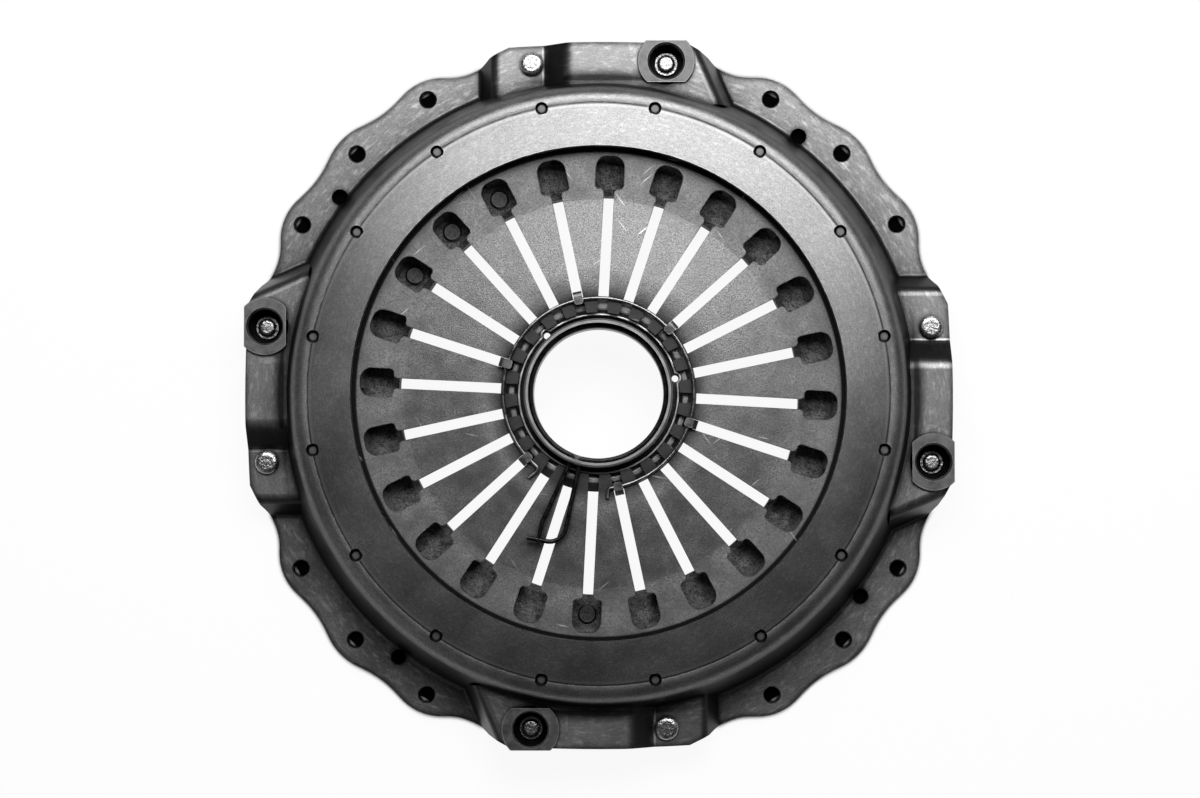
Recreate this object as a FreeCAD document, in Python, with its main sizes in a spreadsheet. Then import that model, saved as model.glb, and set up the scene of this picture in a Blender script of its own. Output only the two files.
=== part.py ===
import FreeCAD, Part
import math
import os
import Sketcher
from FreeCAD import Placement, Rotation, Vector

# Pull-type diaphragm spring clutch cover of the 430 mm class.
# Z = 0 is the face that bolts to the flywheel, +Z runs towards the gearbox, and the
# middle of one strap land lies on +Y.

doc = FreeCAD.newDocument("clutch_pressure_plate")
sheet = doc.addObject("Spreadsheet::Sheet", "sizes")


class Size:
    """A length: its value now, and the formula that gives it from the sheet."""

    def __init__(self, value, formula):
        self.value = value
        self.formula = formula

    def __float__(self):
        return self.value

    def __neg__(self):
        return Size(-self.value, "-(%s)" % self.formula)

    def __add__(self, other):
        other = as_size(other)
        return Size(self.value + other.value, "(%s + %s)" % (self.formula, other.formula))

    def __sub__(self, other):
        other = as_size(other)
        return Size(self.value - other.value, "(%s - %s)" % (self.formula, other.formula))

    def __mul__(self, other):
        other = as_size(other)
        return Size(self.value * other.value, "(%s * %s)" % (self.formula, other.formula))

    def __truediv__(self, other):
        other = as_size(other)
        return Size(self.value / other.value, "(%s / %s)" % (self.formula, other.formula))


def as_size(number):
    if isinstance(number, Size):
        return number
    return Size(float(number), repr(float(number)))


def size(alias, value):
    """Writes one driving dimension into the sheet and returns it."""
    row = len(named) + 1
    named.append(alias)
    sheet.set("A%d" % row, alias)
    sheet.set("B%d" % row, str(value))
    sheet.setAlias("B%d" % row, alias)
    return Size(float(value), "sizes.%s" % alias)


named = []

# Pressed cover. Its rings step inwards and outwards from the crease.
sheet_thick = size("sheet_thick", 5)
crease_radius = size("crease_radius", 197)
annulus_width = size("annulus_width", 29.7)
opening_height = size("opening_height", 60)
annulus_inner_fall = size("annulus_inner_fall", 1.8)
annulus_outer_fall = size("annulus_outer_fall", 3.3)
annulus_crown = size("annulus_crown", 220)
crease_bend = size("crease_bend", 1.5)
shoulder_rise = size("shoulder_rise", 0.7)
shoulder_width = size("shoulder_width", 11.6)
wall_spread = size("wall_spread", 13.7)
shoulder_bend = size("shoulder_bend", 12)
foot_bend = size("foot_bend", 4)
land_height = size("land_height", 38)
pad_height = size("pad_height", 25)
land_bend = size("land_bend", 3)
step_bend = size("step_bend", 7)

# Holes of the bolting flange
bolt_reach = size("bolt_reach", 15.2)
bolt_hole_radius = size("bolt_hole_radius", 5.5)
dowel_inset = size("dowel_inset", 11)
dowel_hole_radius = size("dowel_hole_radius", 4.9)
hole_chamfer = size("hole_chamfer", 0.8)

# Outline of the bolting flange, from the bolt circle outwards and then in from the lobes
lobe_margin = size("lobe_margin", 14.5)
side_lobe_inset = size("side_lobe_inset", 1.5)
valley_inset = size("valley_inset", 5.5)
dip_inset = size("dip_inset", 11.3)
land_inset = size("land_inset", 11.1)
land_shoulder_inset = size("land_shoulder_inset", 13)
land_corner_inset = size("land_corner_inset", 19.7)
land_shoulder_along = size("land_shoulder_along", 62)
land_corner_along = size("land_corner_along", 75.6)

# Strap lands, measured along the tangent from the middle of the land, on the strap line
pad_foot = size("pad_foot", 81)
pad_start = size("pad_start", 71)
pad_end = size("pad_end", 36.5)
land_start = size("land_start", 20)
land_end = size("land_end", 69.6)
land_foot = size("land_foot", 79.3)
land_joint_low = size("land_joint_low", 30)
land_joint_high = size("land_joint_high", 55)
flange_foot = size("flange_foot", 18)
end_slant = size("end_slant", 12)
end_slant_run = size("end_slant_run", 27)

# Dimples that centre the pivot ring
dimple_mouth_radius = size("dimple_mouth_radius", 4.3)
dimple_floor_radius = size("dimple_floor_radius", 2.7)
dimple_depth = size("dimple_depth", 3)
nub_radius = size("nub_radius", 3.6)

# Pivot ring and diaphragm spring
pivot_wire_radius = size("pivot_wire_radius", 2.2)
seat_gap = size("seat_gap", 0.1)
spring_thick = size("spring_thick", 5)
spring_dish = size("spring_dish", 1.1)
finger_bend_radius = size("finger_bend_radius", 132)
finger_rise = size("finger_rise", 6.1)
tip_bend_radius = size("tip_bend_radius", 82)
tip_radius = size("tip_radius", 55)
finger_curve = size("finger_curve", 60)
window_margin = size("window_margin", 5.3)
window_length = size("window_length", 22.5)
window_width = size("window_width", 19.4)
window_corner = size("window_corner", 7.5)
slot_width = size("slot_width", 7)

# Strap leaves and their rivets
strap_place = size("strap_place", 46.2)
strap_reach = size("strap_reach", 5.1)
leaf_width = size("leaf_width", 22)
leaf_thick = size("leaf_thick", 1)
rivet_shank_radius = size("rivet_shank_radius", 4.5)
rivet_clearance = size("rivet_clearance", 0.1)
cover_rivet_head_radius = size("cover_rivet_head_radius", 8)
cover_rivet_head_height = size("cover_rivet_head_height", 3.6)
rivet_tail_radius = size("rivet_tail_radius", 7.5)
rivet_tail_height = size("rivet_tail_height", 2)

# Lift cups
cup_sheet = size("cup_sheet", 2.5)
cup_bore_radius = size("cup_bore_radius", 11.8)
cup_flange_radius = size("cup_flange_radius", 19.7)
cup_flat = size("cup_flat", 14.3)
cup_bend = size("cup_bend", 1.2)
cup_hole_radius = size("cup_hole_radius", 16)
plate_rivet_head_radius = size("plate_rivet_head_radius", 6.1)
plate_rivet_head_height = size("plate_rivet_head_height", 3.4)
washer_radius = size("washer_radius", 7.7)
washer_thick = size("washer_thick", 1.6)

# Cast pressure plate
friction_height = size("friction_height", 5)
plate_thick = size("plate_thick", 24)
plate_side_gap = size("plate_side_gap", 9.3)
plate_inner_radius = size("plate_inner_radius", 137)
plate_draft = size("plate_draft", 6.2)
plate_edge = size("plate_edge", 2)
fulcrum_inset = size("fulcrum_inset", 27.2)
fulcrum_width = size("fulcrum_width", 5)
fulcrum_foot_width = size("fulcrum_foot_width", 14)
fulcrum_gap = size("fulcrum_gap", 0.3)
fulcrum_notch_width = size("fulcrum_notch_width", 9)
lug_radius = size("lug_radius", 13.5)
lug_thick = size("lug_thick", 10)
lug_overlap = size("lug_overlap", 10)
balance_inset = size("balance_inset", 13)
balance_head_radius = size("balance_head_radius", 6.5)
balance_head_height = size("balance_head_height", 3)
balance_shank_radius = size("balance_shank_radius", 4)

# Release hub
thrust_crest_radius = size("thrust_crest_radius", 59)
thrust_bore_radius = size("thrust_bore_radius", 54.3)
thrust_outer_radius = size("thrust_outer_radius", 66.5)
thrust_height = size("thrust_height", 8.5)
thrust_crest_width = size("thrust_crest_width", 4.2)
thrust_crest_bend = size("thrust_crest_bend", 2.8)
thrust_gap = size("thrust_gap", 0.3)
sleeve_bore_radius = size("sleeve_bore_radius", 44)
sleeve_outer_radius = size("sleeve_outer_radius", 50.2)
sleeve_mouth_radius = size("sleeve_mouth_radius", 47.5)
sleeve_flange_radius = size("sleeve_flange_radius", 62)
sleeve_flange_thick = size("sleeve_flange_thick", 5)
sleeve_rise = size("sleeve_rise", 10)
claw_sheet = size("claw_sheet", 2.2)
claw_width = size("claw_width", 6)
claw_outer_radius = size("claw_outer_radius", 70.3)
claw_reach_radius = size("claw_reach_radius", 61.5)
claw_bore_radius = size("claw_bore_radius", 50.5)
claw_fold = size("claw_fold", 1.2)
claw_corner = size("claw_corner", 1.8)
clamp_wire_radius = size("clamp_wire_radius", 1.2)
clamp_circle_radius = size("clamp_circle_radius", 64.6)
clamp_left_bend = size("clamp_left_bend", 2.6)
clamp_left_hook = size("clamp_left_hook", 6.5)
clamp_right_bend = size("clamp_right_bend", 2.6)
clamp_right_hook = size("clamp_right_hook", 5)
snap_wire_radius = size("snap_wire_radius", 1.6)
snap_leg_clearance = size("snap_leg_clearance", 0.6)
snap_side_clearance = size("snap_side_clearance", 0.2)
snap_leg_bend = size("snap_leg_bend", 2.4)
snap_left_run = size("snap_left_run", 46)
snap_left_kink = size("snap_left_kink", 12)
snap_left_end = size("snap_left_end", 13)
snap_right_run = size("snap_right_run", 46)
snap_right_corner = size("snap_right_corner", 11)
snap_crossbar = size("snap_crossbar", 13.5)
leg_window_length = size("leg_window_length", 23)
relief_radius = size("relief_radius", 3.4)
drain_hole_radius = size("drain_hole_radius", 2.4)
drain_circle_radius = size("drain_circle_radius", 53.1)

# Turns in degrees, and counts
LAND_COUNT = 4
BOLT_STEP = 15
DIMPLE_COUNT = 16
FINGER_COUNT = 24
FIRST_SLOT = 12
FIRST_CLAW = 42
CLAW_COUNT = 6
HUB_HOLE_COUNT = 3
LEG_MIDDLE = 251.5
LEG_HALF_SPREAD = 6.4
LEFT_LEG_KINK = 14
CROSSBAR_TURN = 89
CLAMP_START = 278
CLAMP_END = 229.5
LEFT_HOOK_TURN = 100
RIGHT_HOOK_TURN = 75
BALANCE_ANGLES = (117, 132, 147, 267)
# Each notch crosses the whole plate, so this odd count gives twice as many gaps in the bead
FULCRUM_NOTCH_COUNT = 9


def polar(radius, degrees, height=0.0):
    turn = math.radians(degrees)
    return Vector(float(radius) * math.cos(turn), float(radius) * math.sin(turn), float(height))


def turned(shape, degrees):
    copy = shape.copy()
    copy.rotate(Vector(0, 0, 0), Vector(0, 0, 1), degrees)
    return copy


def around(shape, count, first=0.0):
    return [turned(shape, first + 360.0 * i / count) for i in range(count)]


def rounded_edges(corners, radii, closed):
    """Straight runs through the corners, with an arc of the given radius at each."""
    count = len(corners)
    stops = []
    for i, corner in enumerate(corners):
        if radii[i] <= 0 or (not closed and i in (0, count - 1)):
            stops.append((corner, None, corner))
            continue
        back = (corners[i - 1] - corner).normalize()
        ahead = (corners[(i + 1) % count] - corner).normalize()
        half = back.getAngle(ahead) / 2
        inwards = (back + ahead).normalize()
        reach = radii[i] / math.tan(half)
        middle = corner + inwards * (radii[i] / math.sin(half) - radii[i])
        stops.append((corner + back * reach, middle, corner + ahead * reach))
    edges = []
    for i, (first, middle, last) in enumerate(stops):
        if middle is not None:
            edges.append(Part.Arc(first, middle, last).toShape())
        if i + 1 < count or closed:
            following = stops[(i + 1) % count][0]
            if last.distanceToPoint(following) > 1e-6:
                edges.append(Part.makeLine(last, following))
    return edges


def beside(corners, distance):
    """The corners of a path in the XZ plane that runs at a distance above the given one."""
    shifted = []
    for i, corner in enumerate(corners):
        ways = []
        if i > 0:
            ways.append((corner - corners[i - 1]).normalize())
        if i + 1 < len(corners):
            ways.append((corners[i + 1] - corner).normalize())
        normals = [Vector(-way.z, 0, way.x) for way in ways]
        middle = normals[0] + normals[-1]
        middle.normalize()
        shifted.append(corner + middle * (distance / middle.dot(normals[0])))
    return shifted


def bent_sheet(corners, bends, thick):
    """The section of a bent sheet: a middle line in the XZ plane, and its inner bend radii."""
    upper = beside(corners, thick / 2)
    lower = beside(corners, -thick / 2)
    upper_radii = []
    lower_radii = []
    for i, bend in enumerate(bends):
        if bend <= 0:
            upper_radii.append(0)
            lower_radii.append(0)
            continue
        before = corners[i] - corners[i - 1]
        after = corners[i + 1] - corners[i]
        turns_up = before.x * after.z - before.z * after.x > 0
        upper_radii.append(bend if turns_up else bend + thick)
        lower_radii.append(bend + thick if turns_up else bend)
    loop = upper + lower[::-1]
    return Part.Face(Part.Wire(rounded_edges(loop, upper_radii + lower_radii[::-1], True)))


def hung(name, shape):
    """Puts a finished shape into the document under its own name."""
    feature = doc.addObject("Part::Feature", name)
    feature.Label = name
    feature.Shape = shape
    feature.Placement = Placement(Vector(0, 0, 0), Rotation())
    sub_parts.append(feature)
    return feature


def origin_feature(body, role):
    for feature in body.Origin.OriginFeatures:
        if feature.Role == role:
            return feature
    raise ValueError(role)


def flat_sketch(body, name, role):
    sketch = body.newObject("Sketcher::SketchObject", name)
    sketch.AttachmentSupport = (origin_feature(body, role), [""])
    sketch.MapMode = "FlatFace"
    return sketch


def tie(sketch, kind, spot, length):
    """Holds one point of a sketch at a length from its origin, read from the sheet."""
    row = sketch.addConstraint(Sketcher.Constraint(kind, -1, 1, spot[0], spot[1], float(length)))
    sketch.setExpression("Constraints[%d]" % row, length.formula)


def outline(sketch, corners):
    """Straight sides through the corners, each corner tied to the sheet."""
    first = sketch.GeometryCount
    count = len(corners)
    for i in range(count):
        start = Vector(float(corners[i][0]), float(corners[i][1]), 0)
        after = corners[(i + 1) % count]
        end = Vector(float(after[0]), float(after[1]), 0)
        sketch.addGeometry(Part.LineSegment(start, end), False)
    for i in range(count):
        following = first + (i + 1) % count
        sketch.addConstraint(Sketcher.Constraint("Coincident", first + i, 2, following, 1))
    for i, (across, up) in enumerate(corners):
        tie(sketch, "DistanceX", (first + i, 1), as_size(across))
        tie(sketch, "DistanceY", (first + i, 1), as_size(up))


def circle(sketch, across, up, radius):
    """A circle in a sketch, its middle and its radius tied to the sheet."""
    middle = Vector(float(across), float(up), 0)
    row = sketch.addGeometry(Part.Circle(middle, Vector(0, 0, 1), float(radius)), False)
    tie(sketch, "DistanceX", (row, 3), as_size(across))
    tie(sketch, "DistanceY", (row, 3), as_size(up))
    bound = sketch.addConstraint(Sketcher.Constraint("Radius", row, float(radius)))
    sketch.setExpression("Constraints[%d]" % bound, as_size(radius).formula)


def turned_body(name, corners):
    """A turned or cast ring: its half section of radius and height, revolved about Z."""
    body = doc.addObject("PartDesign::Body", name)
    body.Label = name
    section = flat_sketch(body, name + "_section", "XZ_Plane")
    outline(section, corners)
    ring = body.newObject("PartDesign::Revolution", name + "_ring")
    ring.Profile = section
    ring.ReferenceAxis = (section, ["V_Axis"])
    ring.Angle = 360
    section.Visibility = False
    doc.recompute()
    sub_parts.append(body)
    return body


def cut_through(body, sketch, count):
    """Cuts a sketch on the XY plane through the whole body, repeated about Z."""
    before = body.Shape.Volume
    pocket = body.newObject("PartDesign::Pocket", sketch.Name + "_cut")
    pocket.Profile = sketch
    pocket.Type = 1
    pocket.Midplane = True
    pocket.Reversed = False
    sketch.Visibility = False
    doc.recompute()
    if body.Shape.Volume > before - 1e-3:
        raise ValueError(sketch.Name + " cuts nothing")
    return repeat(body, pocket, count)


def repeat(body, feature, count):
    pattern = body.newObject("PartDesign::PolarPattern", feature.Name + "_pattern")
    pattern.Originals = [feature]
    pattern.Axis = (origin_feature(body, "Z_Axis"), [""])
    pattern.Angle = 360
    pattern.Occurrences = count
    body.Tip = pattern
    doc.recompute()
    return pattern


sub_parts = []

# Radii that follow from one another, inwards and outwards from the crease
opening_radius = crease_radius - annulus_width
annulus_middle_radius = crease_radius - annulus_width / 2
wall_top_radius = crease_radius + shoulder_width
wall_foot_radius = wall_top_radius + wall_spread
strap_line = wall_foot_radius + strap_reach
bolt_circle_radius = wall_foot_radius + bolt_reach
dowel_circle_radius = bolt_circle_radius - dowel_inset
lobe_radius = bolt_circle_radius + lobe_margin
side_lobe_radius = lobe_radius - side_lobe_inset
valley_radius = lobe_radius - valley_inset
dip_radius = lobe_radius - dip_inset
land_edge = lobe_radius - land_inset
land_shoulder_out = lobe_radius - land_shoulder_inset
land_corner_out = lobe_radius - land_corner_inset
window_outer = opening_radius - window_margin
window_inner = window_outer - window_length
plate_outer_radius = wall_foot_radius - plate_side_gap
lug_root_radius = plate_outer_radius - lug_overlap
balance_radius = plate_inner_radius + balance_inset

# Heights that follow from one another, from the cover down to the hub
half_sheet = sheet_thick / 2
annulus_middle_height = opening_height - annulus_inner_fall
crease_height = annulus_middle_height - annulus_outer_fall
crease_middle = crease_height - half_sheet
pad_under = pad_height - sheet_thick
land_under = land_height - sheet_thick
outer_slope = annulus_outer_fall / (crease_radius - annulus_middle_radius)
pivot_radius = crease_radius - nub_radius - pivot_wire_radius - seat_gap
cover_under_pivot = crease_height - sheet_thick + outer_slope * (crease_radius - pivot_radius)
pivot_middle = cover_under_pivot - pivot_wire_radius - seat_gap * 4
spring_outer = crease_radius - nub_radius - seat_gap * 2
fulcrum_radius = spring_outer - fulcrum_inset
spring_rim = pivot_middle - pivot_wire_radius - seat_gap - spring_thick / 2
spring_bend = spring_rim - spring_dish
spring_tip = spring_bend + finger_rise
tip_top = spring_tip + spring_thick / 2
tip_under = spring_tip - spring_thick / 2
dish_slope = spring_dish / (spring_outer - finger_bend_radius)
spring_at_fulcrum = spring_rim - dish_slope * (spring_outer - fulcrum_radius)
fulcrum_top = spring_at_fulcrum - spring_thick / 2 - fulcrum_gap
plate_top = friction_height + plate_thick
strap_top = pad_under
strap_bottom = strap_top - leaf_thick * 3
lug_top = strap_bottom
lug_bottom = lug_top - lug_thick
thrust_top = tip_under - thrust_gap
thrust_bottom = thrust_top - thrust_height
sleeve_bottom = thrust_bottom - sleeve_flange_thick
clamp_height = tip_top + clamp_wire_radius + seat_gap
claw_top_middle = clamp_height + clamp_wire_radius + seat_gap + claw_sheet / 2
claw_ring_middle = sleeve_bottom - claw_sheet / 2
snap_height = tip_top + snap_leg_clearance + snap_wire_radius
snap_seat = snap_height - snap_wire_radius - snap_side_clearance
sleeve_top = tip_top + sleeve_rise

# Cover. One deep-drawn shell of constant thickness. Its section runs from the opening down
# the crowned annulus to the crease, over the shoulder, down the wall and out along the flange.
crown = [
    Vector(float(opening_radius), 0, float(opening_height - half_sheet)),
    Vector(float(annulus_middle_radius), 0, float(annulus_middle_height - half_sheet)),
    Vector(float(crease_radius), 0, float(crease_middle)),
    Vector(float(wall_top_radius - half_sheet), 0, float(crease_middle + shoulder_rise)),
    Vector(float(wall_foot_radius - half_sheet), 0, float(half_sheet)),
    Vector(float(lobe_radius + sheet_thick), 0, float(half_sheet)),
]
crown_bends = [
    0, float(annulus_crown), float(crease_bend),
    float(shoulder_bend - sheet_thick), float(foot_bend), 0,
]
crown_face = bent_sheet(crown, crown_bends, float(sheet_thick))
shell = crown_face.revolve(Vector(0, 0, 0), Vector(0, 0, 1), 360)

# Each strap land is the same sheet folded along the tangent: flange, riser, rivet pad, step and
# raised land, which the end piece carries on to a slanted end wall and the flange. The shell is
# cut away below the middle of this sheet, and the sheet closes the cut.
below = -2.0
flange_middle = float(half_sheet)
land_middle = float(land_height - half_sheet)
pad_middle = float(pad_height - half_sheet)
land_line = [
    Vector(float(-pad_foot - flange_foot), 0, flange_middle),
    Vector(float(-pad_foot), 0, flange_middle),
    Vector(float(-pad_start), 0, pad_middle),
    Vector(float(-pad_end), 0, pad_middle),
    Vector(float(-land_start), 0, land_middle),
    Vector(float(land_joint_high), 0, land_middle),
]
end_line = [
    Vector(float(land_joint_low), 0, land_middle),
    Vector(float(land_end), 0, land_middle),
    Vector(float(land_foot), 0, flange_middle),
    Vector(float(land_foot + flange_foot), 0, flange_middle),
]
bend = float(land_bend)
high_bend = float(step_bend)
thick = float(sheet_thick)
land_half_turn = math.radians(BOLT_STEP * 1.5)
land_near = float(wall_foot_radius - land_bend - sheet_thick) * math.cos(land_half_turn)
land_depth = float(lobe_radius + sheet_thick) - land_near
slant = float(end_slant) / float(end_slant_run)
straight = Vector(0, land_depth, 0)
slanted = Vector(-slant * land_depth, land_depth, 0)
main_foot = Vector(0, land_near, 0)
end_foot = Vector(slant * (float(strap_line) - land_near), land_near, 0)


def sheet_run(line, bends, foot, way):
    """A bent sheet, swept from its foot along a straight way."""
    face = bent_sheet(line, bends, thick)
    face.translate(foot)
    return face.extrude(way)


def room_below(line, bends, foot, way):
    """All that lies under the middle of a bent sheet, swept the same way."""
    loop = [Vector(line[0].x, 0, below)] + line + [Vector(line[-1].x, 0, below)]
    radii = [bend + thick / 2 if bend > 0 else 0 for bend in bends]
    face = Part.Face(Part.Wire(rounded_edges(loop, [0] + radii + [0], True)))
    face.translate(foot)
    return face.extrude(way)


land_bends = [0, bend, bend, bend, high_bend, 0]
end_bends = [0, bend, bend, 0]
land_sheet = sheet_run(land_line, land_bends, main_foot, straight)
land_sheet = land_sheet.fuse(sheet_run(end_line, end_bends, end_foot, slanted))
under_land = room_below(land_line, land_bends, main_foot, straight)
under_land = under_land.fuse(room_below(end_line, end_bends, end_foot, slanted))

core_slope = (wall_foot_radius - wall_top_radius) / (crease_middle + shoulder_rise - half_sheet)
core_low = wall_foot_radius - half_sheet + core_slope * (half_sheet - below)
core_high = wall_foot_radius - half_sheet - core_slope * (land_height + half_sheet)
core_height = float(land_height) + 2 * float(half_sheet) - below
core = Part.makeCone(float(core_low), float(core_high), core_height, Vector(0, 0, below))
land_sheet = land_sheet.cut(core)

shell = shell.cut(around(under_land, LAND_COUNT))
shell = shell.fuse(around(land_sheet, LAND_COUNT))


def wave(stops):
    """Arcs through every second stop, each given as radius and degrees."""
    points = [polar(radius, degrees, below) for radius, degrees in stops]
    return [Part.Arc(*points[i:i + 3]).toShape() for i in range(0, len(points) - 2, 2)]


def flange_outline():
    """The plan of the flange: lobes at the bolts, dips beside each land, flat land edges."""
    mean = (lobe_radius + valley_radius) / 2
    side_mean = (side_lobe_radius + valley_radius) / 2
    slope_mean = (side_lobe_radius + dip_radius) / 2
    corner = (float(land_corner_along), float(land_corner_out))
    shoulder = (float(land_shoulder_along), float(land_shoulder_out))
    corner_turn = math.degrees(math.atan2(corner[0], corner[1]))
    corner_radius = math.hypot(*corner)
    waves = [
        (corner_radius, corner_turn), (dip_radius, 22), (slope_mean, 26),
        (side_lobe_radius, 30), (side_mean, 33.75), (valley_radius, 37.5), (mean, 41.25),
        (lobe_radius, 45), (mean, 48.75), (valley_radius, 52.5), (side_mean, 56.25),
        (side_lobe_radius, 60), (slope_mean, 64), (dip_radius, 68),
        (corner_radius, 90 - corner_turn),
    ]
    edges = []
    for quarter in range(LAND_COUNT):
        turn = 90 * quarter
        edges += wave([(radius, turn + degrees) for radius, degrees in waves])
        ends = []
        for side in (1, -1):
            for along, out in (corner, shoulder):
                ends.append(turned(Part.Vertex(side * along, out, below), turn).Point)
        middle = polar(land_edge, turn + 90, below)
        edges.append(Part.makeLine(ends[0], ends[1]))
        edges.append(Part.Arc(ends[1], middle, ends[3]).toShape())
        edges.append(Part.makeLine(ends[3], ends[2]))
    return Part.Wire(Part.__sortEdges__(edges))


trim_height = Vector(0, 0, float(opening_height) - 2 * below)
shell = shell.common(Part.Face(flange_outline()).extrude(trim_height))


def drilled(radius, circle_radius, degrees, top):
    """A drilled hole through the sheet and the foot bend over it, with its chamfer."""
    foot = polar(circle_radius, degrees, float(top - sheet_thick) - 1)
    hole = Part.makeCylinder(float(radius), float(sheet_thick + foot_bend) + 1, foot)
    rim = polar(circle_radius, degrees, float(top - hole_chamfer))
    chamfer = Part.makeCone(
        float(radius), float(radius + hole_chamfer * 2), 2 * float(hole_chamfer), rim)
    return hole.fuse(chamfer)


holes = []
for quarter in range(LAND_COUNT):
    turn = 90 * quarter
    for step in (-1, 0, 1):
        bolt_turn = turn + 45 + step * BOLT_STEP
        holes.append(drilled(bolt_hole_radius, bolt_circle_radius, bolt_turn, sheet_thick))
    holes.append(drilled(dowel_hole_radius, dowel_circle_radius, turn + 52.5, sheet_thick))
    rivet_hole = Part.makeCylinder(
        float(rivet_shank_radius + rivet_clearance), float(sheet_thick) + 4,
        Vector(-float(strap_place), float(strap_line), float(pad_under) - 2))
    cup_hole = Part.makeCylinder(
        float(cup_hole_radius), float(sheet_thick) + 4,
        Vector(float(strap_place), float(strap_line), float(land_under) - 2))
    holes.append(turned(rivet_hole, turn))
    holes.append(turned(cup_hole, turn))
shell = shell.cut(holes)

# The dimples are punched blind from outside, so that each leaves a nub on the inside.
nub_low = float(pivot_middle)
nub_height = float(crease_middle) - nub_low
nub = Part.makeCylinder(float(nub_radius), nub_height, polar(crease_radius, 0, nub_low))
pit = Part.makeCone(
    float(dimple_floor_radius), float(dimple_mouth_radius) + 0.5, float(dimple_depth) + 1,
    polar(crease_radius, 0, float(crease_height - dimple_depth)))
dimple_first = 180.0 / DIMPLE_COUNT
shell = shell.fuse(around(nub, DIMPLE_COUNT, dimple_first))
shell = shell.cut(around(pit, DIMPLE_COUNT, dimple_first))
hung("cover", shell.removeSplitter())

# Pivot ring. Round spring wire that lies between the cover and the rim of the spring.
pivot_ring = doc.addObject("Part::Torus", "pivot_ring")
pivot_ring.Label = "pivot_ring"
for prop, length in (("Radius1", pivot_radius), ("Radius2", pivot_wire_radius)):
    setattr(pivot_ring, prop, float(length))
    pivot_ring.setExpression(prop, length.formula)
pivot_ring.Placement = Placement(Vector(0, 0, float(pivot_middle)), Rotation())
pivot_ring.setExpression("Placement.Base.z", pivot_middle.formula)
sub_parts.append(pivot_ring)

# Diaphragm spring. A stamped disc, dished at its rim, whose fingers rise to flat tips.
blade_line = [
    Vector(float(tip_radius), 0, float(spring_tip)),
    Vector(float(tip_bend_radius), 0, float(spring_tip)),
    Vector(float(finger_bend_radius), 0, float(spring_bend)),
    Vector(float(spring_outer), 0, float(spring_rim)),
]
blade_bends = [0, float(finger_curve), float(finger_curve), 0]
blade = bent_sheet(blade_line, blade_bends, float(spring_thick))
disc = blade.revolve(Vector(0, 0, 0), Vector(0, 0, 1), 360)


def keyhole():
    """One slot between two fingers, with the rounded window at its outer end."""
    half_window = float(window_width) / 2
    half_slot = float(slot_width) / 2
    inside = float(tip_radius) - 5
    corners = [
        Vector(inside, -half_slot, 0), Vector(float(window_inner), -half_slot, 0),
        Vector(float(window_inner), -half_window, 0), Vector(float(window_outer), -half_window, 0),
        Vector(float(window_outer), half_window, 0), Vector(float(window_inner), half_window, 0),
        Vector(float(window_inner), half_slot, 0), Vector(inside, half_slot, 0),
    ]
    corner = float(window_corner)
    neck = (half_window - half_slot) * 0.45
    radii = [0, neck, neck, corner, corner, neck, neck, 0]
    return Part.Face(Part.Wire(rounded_edges(corners, radii, True)))


slot = keyhole().extrude(Vector(0, 0, float(opening_height)))
disc = disc.cut(around(slot, FINGER_COUNT, FIRST_SLOT))
hung("diaphragm_spring", disc)


# Strap leaves. Four packs of three flat spring leaves join the cover to the plate lugs.
def strap_leaf(name, turn, floor):
    body = doc.addObject("PartDesign::Body", name)
    body.Label = name
    plan = flat_sketch(body, name + "_plan", "XY_Plane")
    half = leaf_width / 2
    reach = strap_place
    low = float(strap_line - half)
    high = float(strap_line + half)
    mid = float(strap_line)
    left = -float(reach)
    right = float(reach)
    quarter = math.pi / 2
    plan.addGeometry(Part.LineSegment(Vector(left, low, 0), Vector(right, low, 0)), False)
    plan.addGeometry(Part.LineSegment(Vector(left, high, 0), Vector(right, high, 0)), False)
    for across, first in ((right, -quarter), (left, quarter)):
        end = Part.Circle(Vector(across, mid, 0), Vector(0, 0, 1), float(half))
        plan.addGeometry(Part.ArcOfCircle(end, first, first + 2 * quarter), False)
    for line, spot, arc, arc_spot in ((0, 2, 2, 1), (1, 2, 2, 2), (1, 1, 3, 1), (0, 1, 3, 2)):
        plan.addConstraint(Sketcher.Constraint("Coincident", line, spot, arc, arc_spot))
    for line in (0, 1):
        plan.addConstraint(Sketcher.Constraint("Horizontal", line))
    tie(plan, "DistanceY", (2, 3), strap_line)
    for arc, side in ((2, 1), (3, -1)):
        tie(plan, "DistanceX", (arc, 3), reach * side)
    bound = plan.addConstraint(Sketcher.Constraint("Radius", 2, float(half)))
    plan.setExpression("Constraints[%d]" % bound, half.formula)
    for side in (1, -1):
        circle(plan, reach * side, strap_line, rivet_shank_radius + rivet_clearance)
    pad = body.newObject("PartDesign::Pad", name + "_sheet")
    pad.Profile = plan
    pad.Length = float(leaf_thick)
    pad.setExpression("Length", leaf_thick.formula)
    plan.Visibility = False
    doc.recompute()
    body.Placement = Placement(Vector(0, 0, float(floor)), Rotation(Vector(0, 0, 1), turn))
    body.setExpression("Placement.Base.z", floor.formula)
    sub_parts.append(body)


for pack in range(LAND_COUNT):
    for row, place in enumerate(("lower", "middle", "upper")):
        leaf_name = "strap_%d_%s_leaf" % (pack + 1, place)
        strap_leaf(leaf_name, 90 * pack, strap_bottom + leaf_thick * row)


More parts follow.
